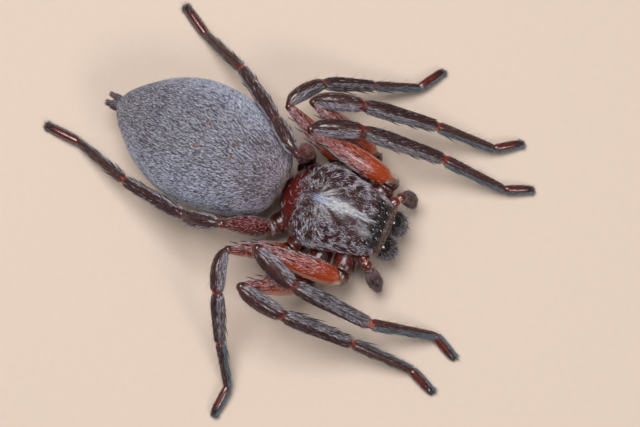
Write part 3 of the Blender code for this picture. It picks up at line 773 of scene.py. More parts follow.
def fore_body_relief(x, y):
    """Depth of the grooves of the carapace: the pit, the head's border and the rays."""
    from_pit = np.hypot(x, y + 2.9)
    heading = np.degrees(np.arctan2(np.abs(x), -(y + 2.9)))
    width = np.degrees(0.20 / np.maximum(from_pit, 0.4))
    depth = 0.11 * bump_at(x, 0.0, 0.13) * step_up(-np.abs(y + 2.75), -0.75, -0.15)
    for ray, strength, reach in CARAPACE_RAYS:
        run = step_up(from_pit, 0.35, 0.9) * (1 - step_up(from_pit, reach - 0.8, reach))
        depth = depth + strength * bump_at(heading, ray, width) * run
    return depth


def fore_body_rule(inset):
    """Points of the carapace dome over the breast plate, inset under the coat."""
    first, last = FORE_BODY[0][0], FORE_BODY[-1][0]

    def rule(u, v):
        u, v = np.broadcast_arrays(np.asarray(u, float), np.asarray(v, float))
        t, shrink, past = round_ends(u, 0.06)
        wave = 0.5 - 0.5 * np.cos(math.pi * t)
        y, half_width, margin, top, keel = np.moveaxis(
            read_table(FORE_BODY, first + (last - first) * wave), -1, 0
        )
        angle = math.tau * v
        c, s = np.cos(angle), np.sin(angle)
        width = (half_width - inset) * shrink
        middle = np.where(np.abs(past) > 0, (top + keel) / 2, margin)
        above, below = top - margin - inset, margin - keel - inset
        x = np.copysign(np.abs(c) ** np.where(s >= 0, DOME_SQUARENESS, KEEL_WIDTH_POWER), c) * width
        # A raised rim runs along the margin of the carapace
        x = x * (1 + 0.025 * bump_at(s, 0.02, 0.07))
        z = np.where(s >= 0, margin + above * np.abs(s), margin - below * np.abs(s) ** KEEL_DEPTH_POWER)
        z = middle + (z - middle) * shrink
        z = z - fore_body_relief(x, y) * step_up(s, 0.2, 0.6) * shrink
        # A shallow rim sets the breast plate off from the leg sockets
        z = z + 0.08 * bump_at(np.abs(x), 1.15, 0.12) * step_up(-s, 0.75, 0.95)
        y = y + 0.16 * past
        return turned(np.stack((x, y, z), -1))

    return rule


def abdomen_rule(inset):
    """Points of the abdomen, inset under the coat."""
    first, last = ABDOMEN[0][0], ABDOMEN[-1][0]

    def rule(u, v):
        u, v = np.broadcast_arrays(np.asarray(u, float), np.asarray(v, float))
        t, shrink, past = round_ends(u, 0.04)
        wave = 0.5 - 0.5 * np.cos(math.pi * t)
        y, half_width, middle, top, under = np.moveaxis(
            read_table(ABDOMEN, first + (last - first) * wave), -1, 0
        )
        angle = math.tau * v
        c, s = np.cos(angle), np.sin(angle)
        height = np.where(s >= 0, top - middle, middle - under) - inset
        x = (half_width - inset) * c * shrink
        z = middle + height * s * shrink
        for spot_x, spot_y in MUSCLE_SPOTS:
            away = np.hypot(np.abs(x) - spot_x, y - spot_y)
            z = z - 0.10 * bump_at(away, 0.0, 0.16) * step_up(s, 0.5, 0.8)
        y = y + 0.10 * past
        return np.stack((x, y, z), -1)

    return rule


def tube_rule(path, widths, thickness=1.0, share=0.06, roundness=0.75, swell=None):
    """Points of a tapered tube with round ends; swell adds to its half thickness at t and an angle."""

    def rule(u, v):
        u, v = np.broadcast_arrays(np.asarray(u, float), np.asarray(v, float))
        t, shrink, past = round_ends(u, share)
        centre, heading = along_path(path, t)
        top, side = tube_axes(heading)
        angle = math.tau * v
        radius = read_table(widths, t)[..., 1] * thickness
        centre = centre + heading * (past * radius * roundness)[..., None]
        if swell is not None:
            radius = radius + swell(t, angle)
        out = top * np.cos(angle)[..., None] + side * np.sin(angle)[..., None]
        return centre + out * (radius * shrink)[..., None]

    return rule


def tube_axes(heading):
    """Top and side directions of a tube that runs along the heading."""
    top = unit(UP - heading * heading[..., 2:3])
    return top, np.cross(top, heading)


def tube_way(u, share=0.06):
    """The way along the tube's path at u."""
    return round_ends(u, share)[0]


def skin_piece(name, surfaces, material, paint, rows, sides):
    """One skin from one or more surfaces, coloured by a rule of the surface's index, u, v and points."""
    parts, tints, maps = [], [], []
    for index, (surface, count) in enumerate(zip(surfaces, np.broadcast_to(rows, len(surfaces)))):
        points, faces, u, v = surface.grid(count, sides)
        parts.append((points, faces))
        tints.append(np.broadcast_to(paint(index, u, v, points), points.shape))
        maps.append(surface.lie(u, v))
    skin = new_piece(name, *joined(parts), material, np.concatenate(tints))
    set_map(skin, "Lie", np.concatenate(maps))
    return skin


# Colours of the coats at single places, and factors that tint a coat's own colours
# The pale brown of the abdomen's front rim is a painted highlight of its lit edge
RIM_HIGHLIGHT_BROWN = "#9c7c68"
RIDGE_BLUE = (0.56, 0.64, 0.88)
# The blue-grey tint of the abdomen's flanks is a painted sheen
FLANK_SHEEN_BLUE = (1.00, 1.07, 1.20)
FRONT_BROWN = (0.98, 0.84, 0.82)


class SPIDER_OT_fore_body(bpy.types.Operator):
    """Add the carapace with its breast plate and its radiating coat"""

    bl_idname = "spider.fore_body"
    bl_label = "Fore Body"

    def execute(self, context):
        skin, coat = context.scene.spider_skin, context.scene.spider_coat
        rng = np.random.default_rng(SEED)
        surface = Surface(fore_body_rule(CARAPACE_COAT_DEPTH))
        waist = Surface(tube_rule(WAIST, ((0.0, WAIST_WIDTH), (1.0, WAIST_WIDTH)), roundness=0.2))

        def paint(index, u, v, points):
            if index:
                return np.array(skin.membrane) * 0.5
            x, y, _ = turned(points, -FORE_TURN).T
            s = np.sin(math.tau * v)
            return layered(
                skin.carapace,
                ("#170d0d", step_up(-y, 7.1, 7.7) * step_up(s, 0.0, 0.3)),
                ("#5d5d74", streak_share(x, y) * step_up(s, 0.3, 0.6)),
                (skin.red, step_up(y, -2.1, -1.3) * 0.9),
                ("#8c4a40", bump_at(s, 0.03, 0.08) * 0.8),
                ("#6a2c18", step_up(-s, 0.1, 0.35)),
                ("#8a4a26", step_up(-s, 0.8, 0.92)),
            )

        material = shared("carapace cuticle", waxy_cuticle, 0.30, 0.05, 0.30, 0.4, 0.014)
        body = skin_piece("skin_fore_body", (surface, waist), material, paint, (150, 16), 144)
        place(body, "carapace_cuticle", "prosoma")

        def density(u, v):
            x, y, z = np.moveaxis(turned(surface.rule(u, v), -FORE_TURN), -1, 0)
            s = np.sin(math.tau * v)
            cover = step_up(s, 0.0, 0.16)
            cover = cover * (1 - 0.93 * step_up(y + 0.10 * x ** 2, -1.9, -1.2))
            cover = cover * (1 - 0.78 * step_up(-y, 7.0, 7.6) * step_up(-np.abs(x), -2.2, -1.6))
            bare = blotches(np.stack((x, y, z), -1), 0.30, 5)
            return cover * (0.09 + step_up(bare, 0.43, 0.60)) + 0.06 * step_up(-s, 0.0, 0.2)

        # Pale curved strokes over a flat layer of dark hairs
        layers = []
        for kind, share, choices in (
            ("carapace undercoat", 0.62, ((coat.dusk, 0.16), ("#2f1715", 0.84))),
            ("carapace stroke", 0.38, ((coat.silver, 0.36), (coat.grey, 0.42), (coat.dusk, 0.22))),
        ):
            count = int(coat.carapace_hairs * share)
            u, v = surface.scatter(count, rng, density, 120, 120)
            points, along, around, _ = surface.axes(u, v)
            x, y, _ = turned(points, -FORE_TURN).T
            # Behind the head the hairs spread from the pit, on the head they lean forward and inward
            aside, behind = rng.normal(0, 0.6, (2, count))
            level = np.zeros(count)
            spread = unit(np.stack((x + aside, 0.6 * (y + 2.0 + behind), level), 1))
            forward = unit(np.stack((-0.22 * x, level - 1.0, level), 1))
            forward_share = step_up(-y, 3.2, 4.8) * (1 - step_up(np.abs(x), 1.9, 2.7) * 0.6)
            flow = turned(blend(spread, forward, forward_share) + TURN_POINT) - TURN_POINT
            way = (np.sum(flow * along, 1), np.sum(flow * around, 1))
            tint = pick_tint(rng, count, *choices, clump=clumps(surface, u, v, 0.08, 11))
            # A white patch beside the pit, on the right
            tint = blend(tint, coat.silver, bump_at(np.hypot(x + 0.80, y + 3.45), 0.0, 0.32) * 0.8)
            tint = tint * (1 - 0.45 * streak_edge(x, y))[:, None]
            layer = batch(surface, u, v, rng, kind, tint, way)
            layer["lengths"] *= 1 - 0.40 * step_up(-y, 6.8, 8.0)
            layers.append(layer)

        # A dense white ridge of longer hairs along the middle, bluish at its rear end
        count = 1300
        u, v = surface.scatter(count, rng, lambda a, b: streak_density(surface, a, b), 160, 160)
        points, along, around, _ = surface.axes(u, v)
        y = turned(points, -FORE_TURN)[:, 1]
        flow = turned(TURN_POINT + (0.0, -1.0, 0.0)) - TURN_POINT
        white = pick_tint(
            rng, count, ("#fbfafc", 0.40), ("#b4b5c6", 0.38), ("#6a697c", 0.22),
            clump=clumps(surface, u, v, 0.06, 12),
        )
        white = blend(white, white * RIDGE_BLUE, step_up(y, -3.9, -2.7))
        layers.append(batch(surface, u, v, rng, "ridge", white, (along @ flow, around @ flow)))

        # A thin line of brown hairs along the front edge, and a few stiff ones over the eyes
        count = 620
        u, v = surface.scatter(count, rng, lambda a, b: fringe_density(surface, a, b), 220, 120)
        _, along, around, _ = surface.axes(u, v)
        rusty = pick_tint(rng, count, (coat.rust, 0.6), (coat.umber, 0.3), (coat.grey, 0.1))
        layers.append(batch(surface, u, v, rng, "brow", rusty, (along @ flow, around @ flow)))
        place(coat_piece("coat_fore_body", layers), "carapace_cuticle")
        return {"FINISHED"}


def streak_share(x, y):
    """How much the pale streak along the middle of the carapace shows, from 0 to 1."""
    half = 0.09 + 0.24 * bump_at(y, -4.4, 1.35)
    return bump_at(x, 0.0, half) * step_up(-y, 2.1, 3.1) * (1 - step_up(-y, 6.9, 7.6))


def streak_edge(x, y):
    """The darker bands on both sides of the streak."""
    return bump_at(np.abs(x), 0.75, 0.28) * step_up(-y, 2.6, 3.4) * (1 - step_up(-y, 6.0, 7.0))


def streak_density(surface, u, v):
    x, y, _ = np.moveaxis(turned(surface.rule(u, v), -FORE_TURN), -1, 0)
    return streak_share(x, y) ** 1.5 * step_up(np.sin(math.tau * v), 0.3, 0.6)


def fringe_density(surface, u, v):
    x, y, z = np.moveaxis(turned(surface.rule(u, v), -FORE_TURN), -1, 0)
    line = bump_at(y, -8.70 + 0.06 * x ** 2, 0.06) * step_up(z, 3.7, 4.1)
    return line + 0.012 * step_up(z, 4.2, 5.0) * step_up(-y, 5.5, 7.5)


class SPIDER_OT_abdomen(bpy.types.Operator):
    """Add the abdomen with its velvet of short lying hairs"""

    bl_idname = "spider.abdomen"
    bl_label = "Abdomen"

    def execute(self, context):
        skin, coat = context.scene.spider_skin, context.scene.spider_coat
        rng = np.random.default_rng(SEED + 1)
        surface = Surface(abdomen_rule(ABDOMEN_COAT_DEPTH))

        def paint(index, u, v, points):
            return layered(
                skin.abdomen,
                (skin.belly, step_up(-np.sin(math.tau * v), 0.3, 0.8) * 0.6),
                # Painted highlight: a pale-brown rim along the lit front edge
                (RIM_HIGHLIGHT_BROWN, front_rim_highlight(points)),
                ("#b87c50", spot_share(*points.T) ** 2),
            )

        material = shared("abdomen hide", waxy_cuticle, 0.5, 0.05, 0.62, 0.0, 0.02, 0.3)
        body = skin_piece("skin_abdomen", (surface,), material, paint, 150, 128)
        place(body, "abdomen_velvet", "opisthosoma")

        for name, top, share in (("coat_abdomen_upper", True, 0.56), ("coat_abdomen_under", False, 0.44)):
            def density(u, v, top=top):
                shown = (np.sin(math.tau * v) >= 0) == top
                return shown * (1 - 0.85 * spot_share(*np.moveaxis(surface.rule(u, v), -1, 0)))

            count = int(coat.abdomen_hairs * share)
            u, v = surface.scatter(count, rng, density, 140, 128)
            points = surface.rule(u, v)
            x, y, _ = points.T
            # Dark mottling near the front and a browner rear; the paler, blue-grey flanks are a painted
            # sheen
            dark = step_up(blotches(points, 0.8, 8), 0.40, 0.70) * (1 - step_up(y, 2.5, 6.0)) * 0.85
            rear = 0.45 * step_up(blotches(points, 1.3, 9), 0.45, 0.7) * step_up(y, 5.0, 9.0)
            dark = np.maximum(dark, rear)
            # Towards the sides more pale hairs and a bluer tint: a painted sheen of the velvet
            flank_sheen = step_up(np.abs(x) / 4.6, 0.35, 0.85)
            tint = pick_tint(
                rng, count,
                ("#e8e9f7", 0.25 + 0.15 * flank_sheen - 0.14 * dark),
                ("#b5b4c9", 0.34 - 0.12 * dark),
                ("#78727f", 0.24),
                ("#463a39", 0.20 + 0.3 * dark),
                clump=clumps(surface, u, v, 0.035, 14),
            )
            tint = blend(tint, tint * FLANK_SHEEN_BLUE, flank_sheen * 0.8)
            tint = blend(tint, tint * FRONT_BROWN, (1 - step_up(y, 0.8, 3.8)) * 0.9)
            # The front rim's hairs get the same painted highlight
            tint = blend(tint, RIM_HIGHLIGHT_BROWN, front_rim_highlight(points) * 0.9)
            if not top:
                tint = blend(tint, "#7c6252", belly_share(x, y))
                tint = tint * (1 - 0.7 * furrow_share(x, y))[:, None]
            way = (np.ones(count), -0.10 * np.sign(np.cos(math.tau * v)))
            batches = [batch(surface, u, v, rng, "velvet", tint, way)]
            if top:
                # Sparse longer hairs stand up out of the velvet all over
                dusky = (("#4d4447", 0.7), (coat.silver, 0.3))
                batches.append(grow(surface, rng, 1500, "abdomen tall", dusky, grid=(80, 64)))
            place(coat_piece(name, batches), "abdomen_velvet")
        return {"FINISHED"}


def front_rim_highlight(points):
    """The thin pale-brown rim at the front end of the abdomen, a painted highlight where light catches its
    edge.
    """
    return bump_at(points[:, 1], -0.16, 0.06)


def belly_share(x, y):
    """How much of the brown belly and its lung covers is at a place of the underside."""
    stripe = step_up(-np.abs(x), -1.7, -0.9) * step_up(y, 2.4, 3.2) * (1 - step_up(y, 9.0, 12.0))
    lungs = bump_at(np.hypot((np.abs(x) - 1.35) / 0.75, (y - 1.55) / 0.6), 0.0, 1.0)
    return np.clip(0.55 * stripe + 0.8 * lungs, 0, 1)


def furrow_share(x, y):
    """The cross furrow behind the lung covers and the plate in its middle."""
    line = bump_at(y, 2.35 - 0.06 * x ** 2, 0.12) * step_up(-np.abs(x), -2.5, -2.1)
    return np.maximum(line, bump_at(np.hypot(x, (y - 2.0) / 0.8), 0.0, 0.35))


def spot_share(x, y, z):
    """How much of a muscle spot of the abdomen's back is at a place, from 0 to 1."""
    share = 0.0
    for spot_x, spot_y in MUSCLE_SPOTS:
        share = share + bump_at(np.hypot(np.abs(x) - spot_x, y - spot_y), 0.0, 0.17) * (z > 6.0)
    return np.clip(share, 0, 1)


class SPIDER_OT_spinnerets(bpy.types.Operator):
    """Add the two pairs of spinnerets with their short brown and grey hairs"""

    bl_idname = "spider.spinnerets"
    bl_label = "Spinnerets"

    def execute(self, context):
        coat = context.scene.spider_coat
        rng = np.random.default_rng(SEED + 2)
        at, height = SPINNERET_BASE
        root = ((0.0, at - 0.5, height), (0.0, at + 0.55, height))
        surfaces = [Surface(tube_rule(root, ((0.0, 0.58), (0.8, 0.56), (1.0, 0.44))))]
        for offset, rise, half_width, length in SPINNERETS:
            widths = [(t, half_width * share) for t, share in SPINNERET_TAPER]
            for sign in (1, -1):
                start = (sign * offset * 0.8, at + 0.1, height + rise)
                end = (sign * offset * 1.1, at + 0.30 + length, height + rise * 1.2)
                surfaces.append(Surface(tube_rule((start, end), widths)))

        def paint(index, u, v, points):
            return linear("#4c4547" if index else "#7c3a2c")

        material = shared("spinneret cuticle", waxy_cuticle, 0.2, 0.04, 0.5, 0.1, 0.01)
        piece = skin_piece("skin_spinnerets", surfaces, material, paint, 26, 28)
        place(piece, "palp_brown", "spinnerets")
        tints = ((coat.grey, 0.3), ("#6b4a46", 0.4), (coat.dusk, 0.3))
        place(coat_piece("coat_spinnerets", [
            grow(surface, rng, 900 if index else 500, "spinneret", tints, grid=(24, 24), ends=(0.1, 0.97),
                 strip=(index, len(surfaces)))
            for index, surface in enumerate(surfaces)
        ]), "palp_brown")
        return {"FINISHED"}


def dome_out(x, y):
    """Outward direction of the carapace's top at a place."""
    surface = Surface(fore_body_rule(0.0))
    u, v = np.meshgrid(np.linspace(0.02, 0.98, 400), np.linspace(0.03, 0.47, 200), indexing="ij")
    points = surface.rule(u, v)
    index = np.argmin(np.hypot(points[..., 0] - x, points[..., 1] - y))
    return surface.axes(u.ravel()[index:index + 1], v.ravel()[index:index + 1])[3][0]


class SPIDER_OT_eyes(bpy.types.Operator):
    """Add the eight eyes as glassy lenses, each in a low collar of cuticle"""

    bl_idname = "spider.eyes"
    bl_label = "Eyes"

    def execute(self, context):
        skin = context.scene.spider_skin
        lens, tree, shader = new_material("eye lens", 0.03, 1.0, 0.02, 0.0, 0.7, 1.52)
        # The dark retina shows through the clear cuticle of the lens, with a trace of red-brown
        where = add_node(tree, "ShaderNodeTexCoord").outputs["Object"]
        cloud = add_node(
            tree, "ShaderNodeTexNoise", {"Scale": 1 / (0.12 * MM), "Detail": 1.0}, {"Vector": where}
        )
        depth = add_node(
            tree, "ShaderNodeMix", {6: (*linear("#050506"), 1.0), 7: (*linear("#140a08"), 1.0)},
            {"Factor": cloud.outputs["Fac"]}, data_type="RGBA",
        )
        tree.links.new(depth.outputs[2], shader.inputs["Base Color"])
        collar = shared("eye collar cuticle", polished_chitin, np.array(skin.black), 0.5, 0.1)
        for name, (offset, at, radius) in EYES.items():
            for side, sign in (("left", 1), ("right", -1)):
                low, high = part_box(f"{name}_{side}")
                centre = (Vector(low) + Vector(high)) / 2
                out = Vector(dome_out(sign * offset, at))
                turn = out.to_track_quat("Z", "Y").to_euler()
                bpy.ops.object.select_all(action="DESELECT")
                bpy.ops.mesh.primitive_uv_sphere_add(
                    segments=36, ring_count=20, radius=radius * MM, location=centre, rotation=turn
                )
                finish_primitive(context, f"lens_{name[4:]}_{side}", lens, "eye_lens", f"{name}_{side}")
                bpy.ops.object.select_all(action="DESELECT")
                bpy.ops.mesh.primitive_torus_add(
                    major_segments=36, minor_segments=10, major_radius=radius * 1.02 * MM,
                    minor_radius=COLLAR_WIDTH * MM, location=centre - out * 0.05 * MM, rotation=turn,
                )
                finish_primitive(context, f"collar_{name[4:]}_{side}", collar, "black_cuticle")
        return {"FINISHED"}


def finish_primitive(context, name, material, slot, *nodes):
    """Name a new primitive, put its place into its mesh, and hand it over."""
    obj = context.active_object
    obj.name = name
    bpy.ops.object.transform_apply(location=True, rotation=True, scale=True)
    bpy.ops.object.shade_smooth()
    obj.data.materials.append(material)
    place(obj, slot, *nodes)


def mirrored(points, sign):
    return [np.array((sign * x, y, z)) for x, y, z in points]


class SPIDER_OT_jaws(bpy.types.Operator):
    """Add the two jaws with their bristles, and the fangs under them"""

    bl_idname = "spider.jaws"
    bl_label = "Jaws"

    def execute(self, context):
        black = np.array(context.scene.spider_skin.black)
        rng = np.random.default_rng(SEED + 3)
        material = shared("jaw cuticle", waxy_cuticle, 0.25, 0.08, 0.13, 1.0, 0.0012)
        for side, sign in (("left", 1), ("right", -1)):
            surface = Surface(tube_rule(turned(mirrored(JAW_PATH, sign)), JAW_WIDTHS, 1.05))
            jaw = skin_piece(f"skin_jaw_{side}", (surface,), material, lambda *_: black * 0.6, 60, 48)
            place(jaw, "black_cuticle", f"chelicera_{side}")

            horn = Surface(tube_rule(turned(mirrored(FANG_PATH, sign)), FANG_WIDTHS))
            fang = new_piece(f"fang_horn_{side}", *horn.grid(44, 24)[:2], black_material())
            place(fang, "black_cuticle", f"fang_{side}")

            # A bare shiny patch on the upper front stays almost free of bristles; the outer sides are paler
            def from_bare(u, v, surface=surface, bare=turned((sign * 0.96, -9.05, 4.55))):
                return np.linalg.norm(surface.rule(u, v) - bare, axis=-1)

            def density(u, v, from_bare=from_bare):
                return 0.02 + step_up(from_bare(u, v), 0.40, 1.05)

            def tints(u, v, from_bare=from_bare):
                outer = step_up(from_bare(u, v), 0.8, 1.5)
                return ("#bdbbc6", 0.03 + 0.27 * outer), ("#6d6872", 0.12 + 0.26 * outer), ("#151112", 0.70)

            dark = (("#8f8b94", 0.30), ("#1f191a", 0.70))
            place(coat_piece(f"coat_jaw_{side}", [
                grow(surface, rng, 3000, "jaw bristle", tints, density, (50, 48), (0.1, 0.97)),
                grow(surface, rng, 420, "long jaw bristle", dark, density, (50, 48), (0.15, 0.9)),
            ]), "black_cuticle")
        return {"FINISHED"}


class SPIDER_OT_mouthparts(bpy.types.Operator):
    """Add the lip and the two chewing lobes under the head, with their fringes"""

    bl_idname = "spider.mouthparts"
    bl_label = "Mouthparts"

    def execute(self, context):
        skin, coat = context.scene.spider_skin, context.scene.spider_coat
        rng = np.random.default_rng(SEED + 5)
        parts = ((LOBE_PATH, 1, LOBE_WIDTHS), (LOBE_PATH, -1, LOBE_WIDTHS), (LIP_PATH, 1, LIP_WIDTHS))
        surfaces = [Surface(tube_rule(turned(mirrored(path, sign)), widths)) for path, sign, widths in parts]

        def paint(index, u, v, points):
            color = "#7a3a20" if index < 2 else "#4a2014"
            return blend(color, np.array(skin.membrane) * 0.8, step_up(tube_way(u), 0.80, 1.0) * 0.7)

        material = shared("mouthpart cuticle", waxy_cuticle, 0.2, 0.04, 0.32, 0.4, 0.006)
        piece = skin_piece("skin_mouthparts", surfaces, material, paint, 30, 28)
        place(piece, "carapace_cuticle")
        tints = ((coat.rust, 0.55), (coat.grey, 0.25), (coat.umber, 0.2))
        place(coat_piece("coat_mouthparts", [
            grow(surface, rng, 420 if index < 2 else 160, "mouth fringe", tints,
                 lambda a, b: 0.15 + step_up(a, 0.6, 0.95), (30, 28), (0.1, 0.98), (index, len(surfaces)))
            for index, surface in enumerate(surfaces)
        ]), "carapace_cuticle")
        return {"FINISHED"}


class SPIDER_OT_palps(bpy.types.Operator):
    """Add the two palps: red glossy roots and dark brush-like ends"""

    bl_idname = "spider.palps"
    bl_label = "Palps"

    def execute(self, context):
        skin = context.scene.spider_skin
        rng = np.random.default_rng(SEED + 4)

        def paint(index, u, v, points):
            t = tube_way(u, 0.05)
            joints = bump_at(t, 0.36, 0.014) + bump_at(t, 0.56, 0.014)
            return layered(
                skin.red, ("#3b211d", step_up(t, 0.50, 0.64)),
                (np.array(skin.membrane) * 0.5, np.clip(joints, 0, 1)),
            )

        for name, path in PALP_PATHS.items():
            surface = Surface(tube_rule(path, PALP_WIDTHS, 1.06, 0.05))
            piece = skin_piece(f"skin_{name}", (surface,), leg_skin_material(), paint, 90, 32)
            set_number(piece, "Gloss", np.full(len(piece.data.vertices), 0.8))
            place(piece, "palp_brown", name)

            count = 6500
            u, v = surface.scatter(
                count, rng, lambda a, b: 0.12 + step_up(tube_way(a, 0.05), 0.50, 0.68), 60, 32, 0.04, 0.995
            )
            end = step_up(tube_way(u, 0.05), 0.52, 0.66)
            tint = pick_tint(
                rng, count, ("#a08a90", 0.14 + 0.14 * end), ("#644645", 0.45), ("#2b1917", 0.32),
                clump=clumps(surface, u, v, 0.10, 15),
            )
            fur = batch(surface, u, v, rng, "palp fur", tint)
            fur["lengths"] *= 0.6 + 0.55 * end
            brown = (("#3c2826", 0.7), ("#8d8087", 0.3))
            stiff = grow(surface, rng, 260, "stiff palp hair", brown, grid=(60, 32), ends=(0.35, 0.98))
            place(coat_piece(f"coat_{name}", (fur, stiff)), "palp_brown")
        return {"FINISHED"}


def heading_vector(yaw, pitch):
    yaw, pitch = math.radians(yaw), math.radians(pitch)
    return np.array((math.cos(yaw) * math.cos(pitch), math.sin(yaw) * math.cos(pitch), math.sin(pitch)))


def leg_joints(name):
    """Joint places of one leg, from the body out to the toe."""
    side, number = name.split("_")
    pair = int(number)
    pose, lengths = LEG_POSES[name], SEGMENT_LENGTHS[pair]
    socket, trochanter = mirrored((SOCKETS[pair], TROCHANTERS[pair]), 1 if side == "left" else -1)
    joints = [turned(socket), trochanter]
    for segment in ("femur", "patella", "tibia"):
        joints.append(joints[-1] + heading_vector(*pose[segment]) * lengths[segment])
    for segment, height in (("metatarsus", ANKLE_HEIGHT), ("tarsus", TOE_HEIGHT)):
        slope = math.degrees(math.asin((height - joints[-1][2]) / lengths[segment]))
        joints.append(joints[-1] + heading_vector(pose[segment], slope) * lengths[segment])
    return joints


def leg_paths(joints):
    """Steering points of each segment's path."""
    socket, trochanter, knee, shin, heel, ankle, toe = joints
    thigh = unit(knee - trochanter)
    turn = unit(unit(trochanter - socket) * 2.0 + thigh)
    fold = unit(thigh - unit(shin - knee))
    bow = tube_axes(thigh)[0] * FEMUR_BOW
    return {
        "coxa": (socket, trochanter - turn * 0.9, trochanter),
        "femur": (trochanter, (trochanter + knee) / 2 + bow, knee),
        "patella": (knee, knee + (shin - knee) * 0.45 + fold * PATELLA_ARCH, shin),
        "tibia": (shin, (shin + heel) / 2 + UP * 0.25, heel),
        "metatarsus": (heel, (heel + ankle) / 2 + UP * 0.15, ankle),
        "tarsus": (ankle, (ankle + toe) / 2, toe),
    }


class Leg:
    """One leg's surfaces, with the way the back of each segment faces."""

    def __init__(self, name):
        self.pair = int(name[-1])
        self.joints = leg_joints(name)
        self.paths = leg_paths(self.joints)
        self.thick = LEG_THICKNESS[self.pair]
        thigh = unit(self.joints[2] - self.joints[1])
        left = name.startswith("left")
        # Outwards at the knee's bend, turned up more on the left, so that brown and grey both show
        self.crest = {segment: thigh + UP * (0.55 if left else -0.10) for segment in SEGMENTS}
        self.crest["patella"] = thigh + UP * (0.30 if left else -0.05)
        self.crest["metatarsus"] = thigh + UP * (0.20 if left else -0.05)
        # The femur's hairs are on the side towards the body
        self.crest["femur"] = UP + (-1.0 if left else 1.0, 0.0, 0.0)
        self.crest["coxa"] = UP
        self.surfaces = {segment: self.surface(segment) for segment in SEGMENTS}

    def turn(self, segment, t, angle):
        """Degrees round the segment from its back, 0 to 180 either way."""
        _, heading = along_path(self.paths[segment], t)
        top, side = tube_axes(heading)
        back = self.crest[segment]
        crest = np.arctan2(side @ back, top @ back)
        return np.degrees((angle - crest + math.pi) % math.tau - math.pi)

    def surface(self, segment):
        thick = self.thick if segment != "tarsus" else 1.0

        def swell(t, angle):
            turn = np.abs(self.turn(segment, t, angle))
            if segment == "metatarsus":
                return -0.05 * bump_at(turn, 82.0, 14.0) * thick
            if segment == "patella":
                return -0.04 * bump_at(turn, 60.0, 12.0)
            if segment == "coxa":
                return 0.20 * step_up(t, 0.05, 0.3)
            return 0.02 * bump_at(turn, 0.0, 40.0)

        return Surface(tube_rule(self.paths[segment], LEG_WIDTHS[segment], thick, 0.05, 0.8, swell))

    def wrap(self, segment, u, v):
        """The way along the segment, and degrees from its back."""
        t = tube_way(u, 0.05)
        return t, self.turn(segment, t, math.tau * np.asarray(v))


# How polished each segment's bare skin is, from 0 to 1
GLOSS = {"coxa": 0.55, "femur": 0.9, "patella": 0.7, "tibia": 0.6, "metatarsus": 0.7, "tarsus": 0.95}

# Share of the leg's lying hairs on each segment, and the segments whose hairs lie in locks
LEG_COAT_SHARES = {
    "coxa": 0.03, "femur": 0.14, "patella": 0.18, "tibia": 0.37, "metatarsus": 0.19, "tarsus": 0.07,
}
LOCKED_SEGMENTS = ("femur", "patella", "tibia")

# Brushes under the foot: segment, share of the brush's hairs, first and last place, and length
SOLE_BRUSHES = (
    ("metatarsus", 0.50, 0.10, 0.95, 0.17),
    ("tarsus", 0.38, 0.05, 0.97, 0.15),
    ("tarsus", 0.12, 0.86, 0.99, 0.22),
)

# Spines of each segment: the way along it, degrees from its back, and length
LEG_SPINES = {
    "femur": (
        (0.30, 10, 1.05), (0.52, -8, 1.05), (0.72, 8, 0.95),
        (0.40, 55, 1.0), (0.60, 58, 1.0), (0.78, 52, 0.85),
        (0.42, -55, 1.0), (0.62, -58, 1.0), (0.80, -52, 0.85),
    ),
    "patella": ((0.55, 88, 0.8), (0.55, -88, 0.8)),
    "tibia": (
        (0.10, 132, 1.35), (0.10, -132, 1.35), (0.34, 135, 1.4), (0.34, -135, 1.4),
        (0.58, 132, 1.35), (0.58, -132, 1.35), (0.80, 130, 1.1), (0.80, -130, 1.1),
        (0.26, 88, 1.15), (0.66, 90, 1.15), (0.26, -88, 1.15), (0.66, -90, 1.15),
    ),
    "metatarsus": (
        (0.10, 128, 1.35), (0.10, -128, 1.35), (0.48, 130, 1.25), (0.48, -130, 1.25),
        (0.20, 88, 1.15), (0.56, 90, 1.05), (0.20, -88, 1.15), (0.56, -90, 1.05),
    ),
}
SPINE_WIDTHS = ((0.0, 0.048), (0.15, 0.046), (0.6, 0.032), (1.0, 0.007))
CLAW_WIDTHS = ((0.0, 0.062), (0.5, 0.045), (1.0, 0.010))


